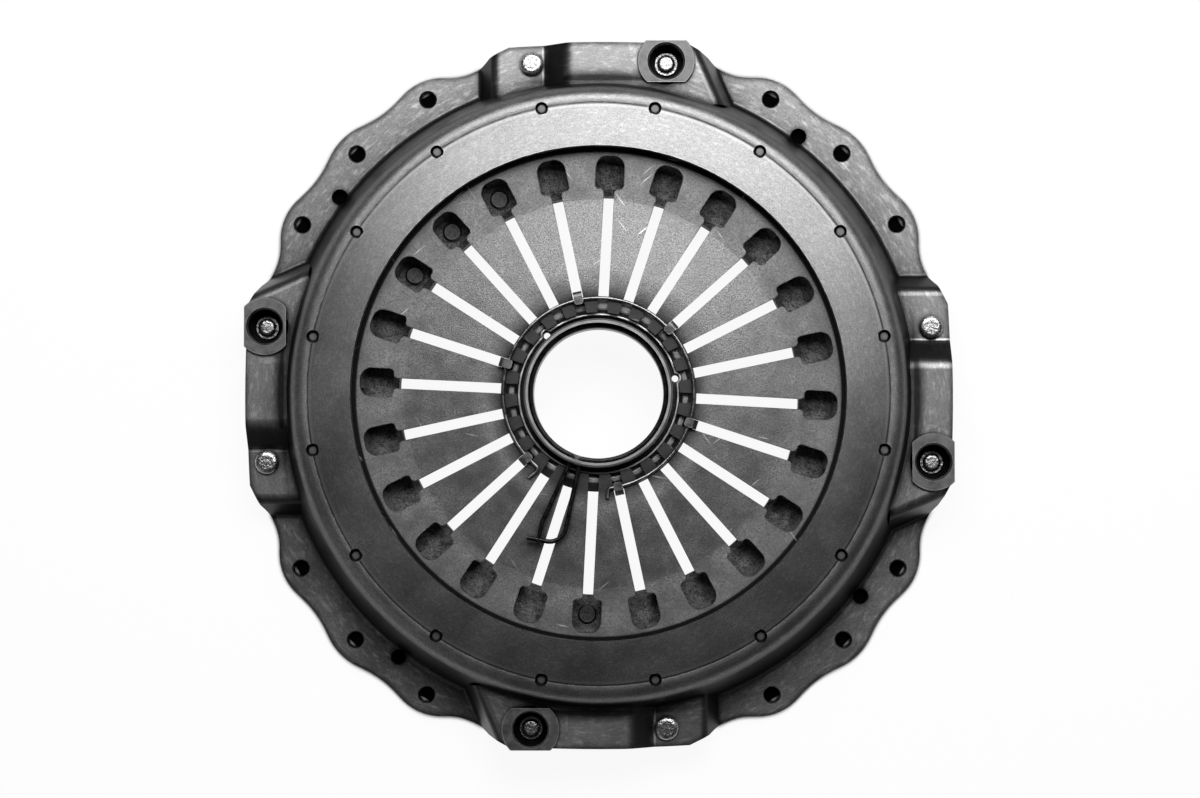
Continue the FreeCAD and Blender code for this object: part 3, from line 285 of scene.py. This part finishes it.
def land_place(tree, at):
    """How far along and how far out a place lies on the nearest strap land, and its height, all in
    metres."""
    place = add_node(tree, "ShaderNodeSeparateXYZ", {"Vector": at})
    x, y = place.outputs["X"], place.outputs["Y"]
    size_x = add_node(tree, "ShaderNodeMath", {0: x}, operation="ABSOLUTE")
    size_y = add_node(tree, "ShaderNodeMath", {0: y}, operation="ABSOLUTE")
    side_x = add_node(tree, "ShaderNodeMath", {0: x}, operation="SIGN")
    side_y = add_node(tree, "ShaderNodeMath", {0: y}, operation="SIGN")
    on_y = add_node(tree, "ShaderNodeMath", {0: size_y, 1: size_x}, operation="GREATER_THAN")
    way_x = add_node(tree, "ShaderNodeMath", {0: side_x, 1: -1.0}, operation="MULTIPLY")
    along_x = add_node(tree, "ShaderNodeMath", {0: y, 1: way_x}, operation="MULTIPLY")
    along_y = add_node(tree, "ShaderNodeMath", {0: x, 1: side_y}, operation="MULTIPLY")
    along = add_node(tree, "ShaderNodeMix", {"Factor": on_y, "A": along_x, "B": along_y},
                     data_type="FLOAT")
    out = add_node(tree, "ShaderNodeMath", {0: size_x, 1: size_y}, operation="MAXIMUM")
    return along, out, place.outputs["Z"]


def layered(tree, colour, layers):
    """The colour under layers laid on in turn, each with its place, strength and colour."""
    for place, strength, layer_colour in layers:
        share = add_node(tree, "ShaderNodeMath", {0: place, 1: strength}, operation="MULTIPLY")
        colour = add_node(tree, "ShaderNodeMix", {
            "Factor": share, "A": colour, "B": linear(layer_colour)}, data_type="RGBA")
    return colour


def shaded(tree, colour, reach, dark=0.0, clear=1.0):
    """The colour with painted shade, darker in hollows narrower than that many millimetres."""
    around = add_node(tree, "ShaderNodeAmbientOcclusion", {"Distance": reach / 1000}, samples=6)
    openness = add_node(tree, "ShaderNodeMapRange", {
        "Value": around.outputs["AO"], "From Min": dark, "From Max": clear})
    return add_node(tree, "ShaderNodeMix", {"Factor": 1.0, "A": colour, "B": openness},
                    data_type="RGBA", blend_type="MULTIPLY")


def finish_material(tree, colour, metallic, patches, smooth, rough, marks, depth):
    """The surface of a finish. Its roughness goes from smooth to rough with the patches, and its
    marks are that many millimetres deep."""
    roughness = add_node(tree, "ShaderNodeMapRange", {
        "Value": patches, "To Min": smooth, "To Max": rough})
    normal = add_node(tree, "ShaderNodeBump", {"Height": marks, "Distance": depth / 1000})
    surface = add_node(tree, "ShaderNodeBsdfPrincipled", {
        "Base Color": colour, "Metallic": metallic, "Roughness": roughness, "Normal": normal})
    add_node(tree, "ShaderNodeOutputMaterial", {"Surface": surface})


crease_radius = 0.197
dimple_count = 16
first_dimple = 11.25
bolt_circle = 0.2375
bolt_places = 24


def phosphated_steel():
    """Phosphated and oiled sheet steel: satin grey and fine grained, with rubbed dimple floors,
    rubbed lands and fine scratches. Painted shade makes the drawn walls, the outer edges and the
    land corners nearly black and darkens the dimples and the crease; painted highlights lie along
    the crease and the land steps."""
    material, tree, at = new_material("phosphated pressed steel")
    grain = mottle(tree, at, 0.9, 2.0, 0.25, 0.75)
    stains = mottle(tree, at, 34.0, 4.0)
    rubbed = mottle(tree, at, 5.0, 4.0, 0.42, 0.6)
    radius = radius_of(tree, at)

    along, out, height_here = land_place(tree, at)
    past_wall = add_node(tree, "ShaderNodeMapRange", {
        "Value": out, "From Min": 0.212, "From Max": 0.215})
    raised = add_node(tree, "ShaderNodeMapRange", {
        "Value": height_here, "From Min": 0.022, "From Max": 0.024})
    on_land = add_node(tree, "ShaderNodeMath", {0: past_wall, 1: raised}, operation="MULTIPLY")
    # A painted highlight along the bend of each land's step.
    step_highlight = add_node(tree, "ShaderNodeMath", {
        0: on_land, 1: band(tree, along, -38.6, -37.6)}, operation="MULTIPLY")
    cup_seat = add_node(tree, "ShaderNodeMath", {
        0: on_land, 1: band(tree, along, 21.5, 30.5, 1.2)}, operation="MULTIPLY")
    cup_rub = add_node(tree, "ShaderNodeMath", {0: cup_seat, 1: rubbed}, operation="MULTIPLY")

    # Painted shade: the dimples and a thin line along the crease are painted dark.
    dimple = ring_distance(tree, at, crease_radius, dimple_count, first_dimple)
    in_dimple = add_node(tree, "ShaderNodeMapRange", {
        "Value": dimple, "From Min": 0.0046, "From Max": 0.0042})
    dimple_floor = add_node(tree, "ShaderNodeMapRange", {
        "Value": dimple, "From Min": 0.0027, "From Max": 0.0023})
    crease_line = add_node(tree, "ShaderNodeMath", {
        0: band(tree, radius, 196.5, 197.3), 1: 0.85}, operation="MULTIPLY")
    pressed = add_node(tree, "ShaderNodeMath", {0: in_dimple, 1: crease_line}, operation="MAXIMUM")

    edge_rub = add_node(tree, "ShaderNodeMath", {0: worn_edges(tree, 0.6), 1: rubbed},
                        operation="MULTIPLY")
    flange_rub = add_node(tree, "ShaderNodeMath", {
        0: round_streaks(tree, at, 2.6, 0.52, 0.74), 1: by_radius(tree, at, 0.209, 0.216)},
        operation="MULTIPLY")
    # Rubbed and worn places, and painted highlights by the crease and on the land steps.
    wear_and_highlight = 0.0
    for rub, strength in (
            (edge_rub, 0.6),
            (band(tree, radius, 194.8, 196.2, 0.8), 0.12),
            (step_highlight, 0.9),
            (cup_rub, 0.4),
            (scratches(tree, at, 11.0, 20.0, 0.45, 0.3), 0.5),
            (scratches(tree, at, 9.0, 110.0, 0.4, 0.25), 0.5),
            (flange_rub, 0.5),
            (round_streaks(tree, at, 1.6, 0.50, 0.78), 0.18),
            (dimple_floor, 0.4)):
        share = add_node(tree, "ShaderNodeMath", {0: rub, 1: strength}, operation="MULTIPLY")
        wear_and_highlight = add_node(tree, "ShaderNodeMath", {0: wear_and_highlight, 1: share}, operation="MAXIMUM")

    # Painted shade: outer flange edges away from the bolts, walls and land corners go near black.
    bolt = ring_distance(tree, at, bolt_circle, bolt_places, 0.0)
    near_bolt = add_node(tree, "ShaderNodeMapRange", {
        "Value": bolt, "From Min": 0.0100, "From Max": 0.0080})
    on_flange = add_node(tree, "ShaderNodeMapRange", {
        "Value": height_here, "From Min": 0.018, "From Max": 0.016})
    by_bolt = add_node(tree, "ShaderNodeMath", {0: near_bolt, 1: on_flange}, operation="MULTIPLY")
    off_bolt = add_node(tree, "ShaderNodeMath", {0: 1.0, 1: by_bolt}, operation="SUBTRACT")
    rounded = add_node(tree, "ShaderNodeBevel", {"Radius": 0.0075}, samples=6)
    rim = add_node(tree, "ShaderNodeMath", {
        0: steepness(tree, rounded, 0.985, 0.82), 1: by_radius(tree, at, 0.210, 0.214)},
        operation="MULTIPLY")
    painted_shade = add_node(tree, "ShaderNodeMath", {0: rim, 1: off_bolt}, operation="MULTIPLY")
    face = add_node(tree, "ShaderNodeNewGeometry")
    land_corner = add_node(tree, "ShaderNodeMath", {
        0: on_land, 1: by_radius(tree, at, 0.2240, 0.2180)}, operation="MULTIPLY")
    # Adds the painted shade of the drawn walls and of the land corners.
    for film in (steepness(tree, face.outputs["Normal"], 0.78, 0.42), land_corner):
        painted_shade = add_node(tree, "ShaderNodeMath", {0: painted_shade, 1: film}, operation="MAXIMUM")

    # The layers hold painted shade and painted highlights among the real stains, grain and wear.
    steel = layered(tree, linear("#747474"), (
        (stains, 1.0, "#848484"), (grain, 1.0, "#585858"), (on_land, 0.12, "#a4a4a4"),
        (pressed, 1.0, "#2a2a2a"), (wear_and_highlight, 1.0, "#c2c2c2"), (painted_shade, 0.93, "#101010")))
    steel = shaded(tree, steel, 26.0, 0.36, 0.88)
    finish_material(tree, steel, 0.92, stains, 0.36, 0.44, grain, 0.03)
    return material


def give(material, *names):
    """The finish of these CAD nodes."""
    for name in names:
        for material_slot in nodes[name].material_slots:
            material_slot.material = material


give(phosphated_steel(), "cover")


# Cover rivets, plate rivets and washers: cold-headed steel, left bright. They fasten the strap
# leaves to the cover and to the plate, and their heads are the brightest spots of the lands.
def cold_headed_steel():
    """Bright cold-headed steel: smooth, with small dents from the riveting tool."""
    material, tree, at = new_material("bright cold-headed rivet steel")
    dents = mottle(tree, at, 1.8, 3.0)
    steel = layered(tree, linear("#8a8a8a"), ((dents, 1.0, "#b4b4b4"),))
    fine = mottle(tree, at, 0.5, 2.0)
    finish_material(tree, shaded(tree, steel, 5.0), 1.0, fine, 0.20, 0.32, dents, 0.12)
    return material


give(cold_headed_steel(), "cover_rivets", "plate_rivets", "plate_rivet_washers")


# Pivot ring and clamp wire: round spring wire, drawn through a die, bent to a ring and oiled. The
# pivot ring lies between the cover and the spring, and the clamp wire under the claws.
def drawn_wire(name, dull, bright, metallic=1.0):
    """Drawn spring wire: smooth, slightly patchy where the oil has dried."""
    material, tree, at = new_material(name)
    patches = mottle(tree, at, 6.0, 3.0)
    steel = layered(tree, linear(dull), ((patches, 1.0, bright),))
    finish_material(tree, steel, metallic, patches, 0.24, 0.36, mottle(tree, at, 0.6, 2.0), 0.01)
    return material


give(drawn_wire("oiled drawn spring wire", "#6a6a6a", "#929292"), "pivot_ring", "clamp_wire")


# Diaphragm spring: one disc of 5 mm spring steel with 24 fingers, stamped, dished, hardened and
# shot peened. The tips are hardened again, which leaves them darker. The disc is cut into one piece
# per finger, each cut across at its bend lines.
def peened_spring_steel():
    """Shot-peened spring steel: mottled mid grey with stray light scratches and dark at the tips.
    Painted shade turns the cut faces and the window edges near black, and a painted shadow lies
    in a ring just inside the cover's opening. The peening is drawn at 1 mm, coarser than it is."""
    material, tree, at = new_material("shot-peened spring steel")
    peening = mottle(tree, at, 1.0, 3.0, 0.33, 0.67)
    clouds = mottle(tree, at, 16.0, 4.0)
    scratched = scratches(tree, at, 5.0, 35.0, 0.55, 0.8, 13.0)
    for more in (scratches(tree, at, 4.4, 130.0, 0.5, 0.75, 13.0),
                 scratches(tree, at, 5.6, 78.0, 0.6, 0.7, 11.0)):
        scratched = add_node(tree, "ShaderNodeMath", {0: scratched, 1: more}, operation="MAXIMUM")
    handled = add_node(tree, "ShaderNodeMath", {
        0: scratched, 1: mottle(tree, at, 22.0, 3.0, 0.40, 0.56)}, operation="MULTIPLY")
    # Painted shade: the cut faces and the window edges are painted near black.
    window_rim = add_node(tree, "ShaderNodeMath", {
        0: worn_edges(tree, 1.1), 1: by_radius(tree, at, 0.105, 0.135)}, operation="MULTIPLY")
    face = add_node(tree, "ShaderNodeNewGeometry")
    cut_face = steepness(tree, face.outputs["Normal"], 0.70, 0.30)
    cut_edge_shade = add_node(tree, "ShaderNodeMath", {0: cut_face, 1: window_rim}, operation="MAXIMUM")
    steel = layered(tree, linear("#6c6c6c"), (
        (clouds, 1.0, "#8a8a8a"), (peening, 1.0, "#565656"),
        (by_radius(tree, at, 0.136, 0.160), 0.15, "#4c4c4c"),
        # A painted shadow in a ring just inside the cover's opening.
        (by_radius(tree, at, 0.1638, 0.1650), 1.0, "#070707"),
        (by_radius(tree, at, 0.077, 0.066), 0.9, "#2c2c2c"),
        (handled, 1.0, "#e0e0e0"), (cut_edge_shade, 0.95, "#080808")))
    finish_material(tree, shaded(tree, steel, 5.0), 0.8, clouds, 0.42, 0.50, peening, 0.05)
    return material


finger_count = 24
finger_step = math.radians(360 / finger_count)
first_slot = math.radians(12)
bend_lines = (0.072, 0.085, 0.100, 0.116, 0.132, 0.150, 0.172)
sharp_edge = math.radians(35.0)


def select_only(piece):
    """Selects the piece and nothing else."""
    bpy.ops.object.select_all(action="DESELECT")
    piece.select_set(True)
    bpy.context.view_layer.objects.active = piece


def copy_of(node_name, piece_name):
    """A copy of a CAD node's mesh, joined where its triangles meet, and the one thing selected."""
    piece = bpy.data.objects.new(piece_name, nodes[node_name].data.copy())
    scene.collection.objects.link(piece)
    select_only(piece)
    bpy.ops.object.mode_set(mode="EDIT")
    bpy.ops.mesh.select_all(action="SELECT")
    bpy.ops.mesh.remove_doubles(threshold=0.000002)
    bpy.ops.object.mode_set(mode="OBJECT")
    bpy.ops.mesh.customdata_custom_splitnormals_clear()
    return piece


def cut_across(point, normal, trim=False):
    """Cuts the edited mesh along a plane. A trim drops the side that the normal points to."""
    bpy.ops.mesh.select_all(action="SELECT")
    bpy.ops.mesh.bisect(plane_co=point, plane_no=normal, clear_outer=trim, threshold=0.000001)


def smooth_edges(piece):
    """Shades the piece smooth, apart from its sharp edges."""
    select_only(piece)
    bpy.ops.object.shade_smooth_by_angle(angle=sharp_edge)
    evened = piece.modifiers.new("even_shading", "WEIGHTED_NORMAL")
    evened.keep_sharp = True
    bpy.ops.object.modifier_apply(modifier=evened.name)


disc_middle = (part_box("diaphragm_spring")[0].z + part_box("diaphragm_spring")[1].z) / 2
finger = copy_of("diaphragm_spring", "spring_finger")
finger.data.materials.clear()
finger.data.materials.append(peened_spring_steel())
finger_turn = first_slot + finger_step / 2
bpy.ops.object.mode_set(mode="EDIT")
for side in (-1, 1):
    edge_turn = finger_turn + side * finger_step / 2
    sideways = (-side * math.sin(edge_turn), side * math.cos(edge_turn), 0.0)
    cut_across((0.0, 0.0, 0.0), sideways, trim=True)
outward = Vector((math.cos(finger_turn), math.sin(finger_turn), 0.0))
for bend_line in bend_lines:
    cut_across(outward * bend_line, outward)
bpy.ops.object.mode_set(mode="OBJECT")
smooth_edges(finger)
for i in range(finger_count):
    copied = bpy.data.objects.new(f"spring_finger_{i + 1:02d}", finger.data.copy())
    scene.collection.objects.link(copied)
    copied.data.transform(Matrix.Rotation(i * finger_step, 4, "Z"))
    turn = finger_turn + i * finger_step
    level = Vector((0.0, 0.0, disc_middle))
    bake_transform(copied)
    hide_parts("diaphragm_spring")
bpy.data.objects.remove(finger)


# Strap leaves: four packs of three leaves of 1 mm spring steel, blued by the heat treatment. Each
# pack runs from a rivet in the cover to a lug of the plate, and each leaf is cut across along its
# run.
def blued_leaf_steel():
    """Heat-treated leaf steel: smooth dark blue-grey with lighter rubbed edges."""
    material, tree, at = new_material("blued leaf spring steel")
    clouds = mottle(tree, at, 12.0, 3.0)
    steel = layered(tree, linear("#4b4e52"), (
        (clouds, 1.0, "#63676b"), (worn_edges(tree, 0.4), 0.6, "#a9abad")))
    finish_material(tree, steel, 1.0, clouds, 0.30, 0.42, mottle(tree, at, 0.8, 2.0), 0.01)
    return material


leaf_finish = blued_leaf_steel()
pack_radius = 0.2274
leaf_run = 0.034
leaf_cuts = 9
for pack in range(4):
    quarter = Matrix.Rotation(math.radians(90 * pack), 4, "Z")
    tangent = quarter @ Vector((1.0, 0.0, 0.0))
    middle = quarter @ Vector((0.0, pack_radius, 0.0))
    for layer in ("lower", "middle", "upper"):
        leaf_name = f"strap_{pack + 1}_{layer}_leaf"
        leaf = copy_of(leaf_name, f"bent_{leaf_name}")
        leaf.data.materials.clear()
        leaf.data.materials.append(leaf_finish)
        level = Vector((0.0, 0.0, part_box(leaf_name)[0].z))
        bpy.ops.object.mode_set(mode="EDIT")
        for i in range(leaf_cuts):
            place = middle + tangent * (leaf_run * (2 * i / (leaf_cuts - 1) - 1))
            cut_across(place + level, tangent)
        bpy.ops.object.mode_set(mode="OBJECT")
        smooth_edges(leaf)
        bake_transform(leaf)
        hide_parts(leaf_name)


# Pressure plate: a grey iron casting with a sand skin on top. Its lower face, which presses on the
# driven disc, is ground flat and shows the rings of the grinding wheel.
def turned_rings(tree, at, spacing):
    """Fine tool marks that run round the axis, that far apart in millimetres."""
    outwards = add_node(tree, "ShaderNodeCombineXYZ", {"X": radius_of(tree, at)})
    return mottle(tree, outwards, spacing, 2.0, 0.3, 0.7)


def cast_iron():
    """Grey cast iron: coarse dark sand skin above, ground bright rings on the friction face."""
    material, tree, at = new_material("grey iron, sand cast and ground")
    sand = mottle(tree, at, 2.0, 4.0, 0.32, 0.68)
    grit = mottle(tree, at, 1.0, 2.0, 0.3, 0.7)
    lumps = mottle(tree, at, 7.0, 3.0)
    bright_grit = add_node(tree, "ShaderNodeMath", {0: grit, 1: lumps}, operation="MULTIPLY")
    skin = layered(tree, linear("#141414"), ((sand, 1.0, "#606060"), (bright_grit, 1.0, "#8c8c8b")))
    face = add_node(tree, "ShaderNodeNewGeometry")
    height_here = add_node(tree, "ShaderNodeSeparateXYZ", {"Vector": at}).outputs["Z"]
    low = add_node(tree, "ShaderNodeMapRange", {
        "Value": height_here, "From Min": 0.0065, "From Max": 0.0055})
    ground = add_node(tree, "ShaderNodeMath", {
        0: steepness(tree, face.outputs["Normal"], -0.9, -0.97), 1: low}, operation="MULTIPLY")
    rings = turned_rings(tree, at, 0.9)
    bright = layered(tree, linear("#8f9092"), ((rings, 1.0, "#b3b4b5"),))
    iron = add_node(tree, "ShaderNodeMix", {"Factor": ground, "A": skin, "B": bright},
                    data_type="RGBA")
    lumpy = add_node(tree, "ShaderNodeBump", {"Height": lumps, "Distance": 0.0006})
    sandy = add_node(tree, "ShaderNodeBump", {"Height": sand, "Distance": 0.00035, "Normal": lumpy})
    fine = add_node(tree, "ShaderNodeBump", {"Height": rings, "Distance": 0.000006})
    normal = add_node(tree, "ShaderNodeMix", {"Factor": ground, "A": sandy, "B": fine},
                      data_type="VECTOR")
    surface = add_node(tree, "ShaderNodeBsdfPrincipled", {
        "Base Color": shaded(tree, iron, 18.0, 0.16, 0.85),
        "Metallic": add_node(tree, "ShaderNodeMapRange", {"Value": ground, "From Min": -0.6}),
        "Roughness": add_node(tree, "ShaderNodeMapRange", {
            "Value": ground, "To Min": 0.72, "To Max": 0.34}),
        "Normal": normal})
    add_node(tree, "ShaderNodeOutputMaterial", {"Surface": surface})
    return material


give(cast_iron(), "pressure_plate")


# Balance rivets: four plain rivets set in holes of the plate's rim after it has been spun, so they
# carry the same dark film as the casting.
def filmed_rivet_steel():
    """Steel rivet heads under a dark oily film, with the rim rubbed clean."""
    material, tree, at = new_material("filmed balance rivet steel")
    film = mottle(tree, at, 2.2, 3.0)
    steel = layered(tree, linear("#2c2c2c"), (
        (film, 1.0, "#4a4a4a"), (worn_edges(tree, 0.8), 0.4, "#8c8c8c")))
    finish_material(tree, steel, 0.9, film, 0.45, 0.6, film, 0.05)
    return material


give(filmed_rivet_steel(), "balance_rivets")


# Lift cups: four deep-drawn steel cups, each riveted to a lug of the plate. Their flanges lie on
# the lands and hold the plate when it lifts. The die leaves them smooth, and painted shade darkens
# them inside.
cup_shade_height = 0.0380


def drawn_cup_steel():
    """Deep-drawn steel: smooth mid grey, with faint die lines, a bright lip round the bore and
    painted shade inside it.
    """
    material, tree, at = new_material("deep-drawn cup steel")
    clouds = mottle(tree, at, 8.0, 4.0)
    bright = add_node(tree, "ShaderNodeMath", {
        0: worn_edges(tree, 0.8), 1: scratches(tree, at, 5.0, 65.0, 0.35, 0.4)},
        operation="MAXIMUM")
    height_here = add_node(tree, "ShaderNodeSeparateXYZ", {"Vector": at}).outputs["Z"]
    # Painted shade down inside the cup.
    inside = add_node(tree, "ShaderNodeMapRange", {
        "Value": height_here, "From Min": cup_shade_height + 0.0016, "From Max": cup_shade_height})
    steel = layered(tree, linear("#525252"), (
        (clouds, 1.0, "#6a6a6a"), (bright, 0.6, "#c8c8c8"), (inside, 0.9, "#0c0c0c")))
    finish_material(tree, shaded(tree, steel, 12.0, 0.15, 0.85), 1.0, clouds, 0.42, 0.52,
                    mottle(tree, at, 0.9, 2.0), 0.02)
    return material


give(drawn_cup_steel(), "lift_cup_1", "lift_cup_2", "lift_cup_3", "lift_cup_4")


# Release hub: the thrust ring under the finger tips and the sleeve for the release bearing are
# forged and turned, then hardened and oiled, which leaves them dark with a satin gloss.
def turned_hub_steel():
    """Turned and hardened steel: dark grey with fine tool marks, a painted highlight on the crest
    and edges rubbed bright."""
    material, tree, at = new_material("turned and hardened hub steel")
    tool_marks = turned_rings(tree, at, 0.7)
    film = mottle(tree, at, 9.0, 4.0)
    faint_marks = add_node(tree, "ShaderNodeMath", {0: tool_marks, 1: 0.4}, operation="MULTIPLY")
    # A painted highlight along the crest of the thrust ring.
    crest = band(tree, radius_of(tree, at), 57.4, 60.4)
    rubbed = add_node(tree, "ShaderNodeMath", {0: faint_marks, 1: crest}, operation="MAXIMUM")
    turned = layered(tree, linear("#6e6e6e"), ((film, 1.0, "#8a8a8a"), (rubbed, 1.0, "#b4b4b4")))
    turned = shaded(tree, turned, 9.0, 0.30, 0.80)
    steel = layered(tree, turned, ((worn_edges(tree, 0.7), 0.8, "#c8c8c8"),))
    finish_material(tree, steel, 1.0, film, 0.40, 0.50, tool_marks, 0.008)
    return material


give(turned_hub_steel(), "thrust_ring", "bearing_sleeve")


# Eye wire: bright spring wire that lies against the inner edge of the thrust ring. It is bent
# outwards over the ring's slope into an arch round each of the two open drain holes.
wire_radius = 0.0006
wire_circle = 0.0540
wire_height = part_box("thrust_ring")[0].z + 0.00577
wire_steps = 720
drain_circle = 0.0531
drain_turns = (11.5, 131.5)
arch_radius = 0.0035
ring_slope = 1.2
wire_line = bpy.data.curves.new("eye_wire", "CURVE")
wire_line.dimensions = "3D"
wire_line.bevel_depth = wire_radius
wire_line.bevel_resolution = 3
wire_run = wire_line.splines.new("POLY")
wire_run.use_cyclic_u = True
wire_run.points.add(wire_steps - 1)
for i in range(wire_steps):
    degrees = 360 * i / wire_steps
    distance = wire_circle
    for drain_turn in drain_turns:
        off = math.radians((degrees - drain_turn + 180) % 360 - 180)
        across = drain_circle * math.sin(off)
        if abs(off) < math.pi / 2 and abs(across) < arch_radius:
            distance = drain_circle * math.cos(off) + math.sqrt(arch_radius ** 2 - across ** 2)
    climb = ring_slope * max(distance - wire_circle, 0.0)
    turn = math.radians(degrees)
    wire_run.points[i].co = (
        distance * math.cos(turn), distance * math.sin(turn), wire_height + climb, 1.0)
eye_wire = bpy.data.objects.new("eye_wire", wire_line)
scene.collection.objects.link(eye_wire)
select_only(eye_wire)
bpy.ops.object.convert(target="MESH")
eye_wire = bpy.context.object
eye_wire.data.materials.append(drawn_wire("bright drawn spring wire", "#d8d8d8", "#f6f6f6", 0.2))
bpy.ops.object.shade_smooth()
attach(eye_wire, "release_hub")


# Claw ring: sheet steel, punched and bent into six claws that reach up through the slots and hook
# over the finger tips. It is case hardened and dark.
def case_hardened_steel():
    """Case-hardened pressed steel: dark grey, patchy, with lighter bends."""
    material, tree, at = new_material("case-hardened claw steel")
    film = mottle(tree, at, 6.0, 4.0)
    steel = layered(tree, linear("#4e4e4e"), (
        (film, 1.0, "#6a6a6a"), (worn_edges(tree, 0.6), 0.6, "#bababa")))
    fine = mottle(tree, at, 0.8, 2.0)
    finish_material(tree, shaded(tree, steel, 6.0), 1.0, film, 0.34, 0.46, fine, 0.02)
    return material


give(case_hardened_steel(), "claw_ring")


# Snap ring: round spring wire bent into an open ring with two long legs and a crossbar. It is
# blackened and oiled, and holds the release bearing in the sleeve.
def blackened_wire():
    """Blackened spring wire: near black with a soft gloss."""
    material, tree, at = new_material("blackened spring wire")
    film = mottle(tree, at, 5.0, 3.0)
    steel = layered(tree, linear("#1b1b1c"), ((film, 1.0, "#2e2e30"),))
    finish_material(tree, steel, 0.9, film, 0.26, 0.38, mottle(tree, at, 0.6, 2.0), 0.01)
    return material


give(blackened_wire(), "snap_ring")
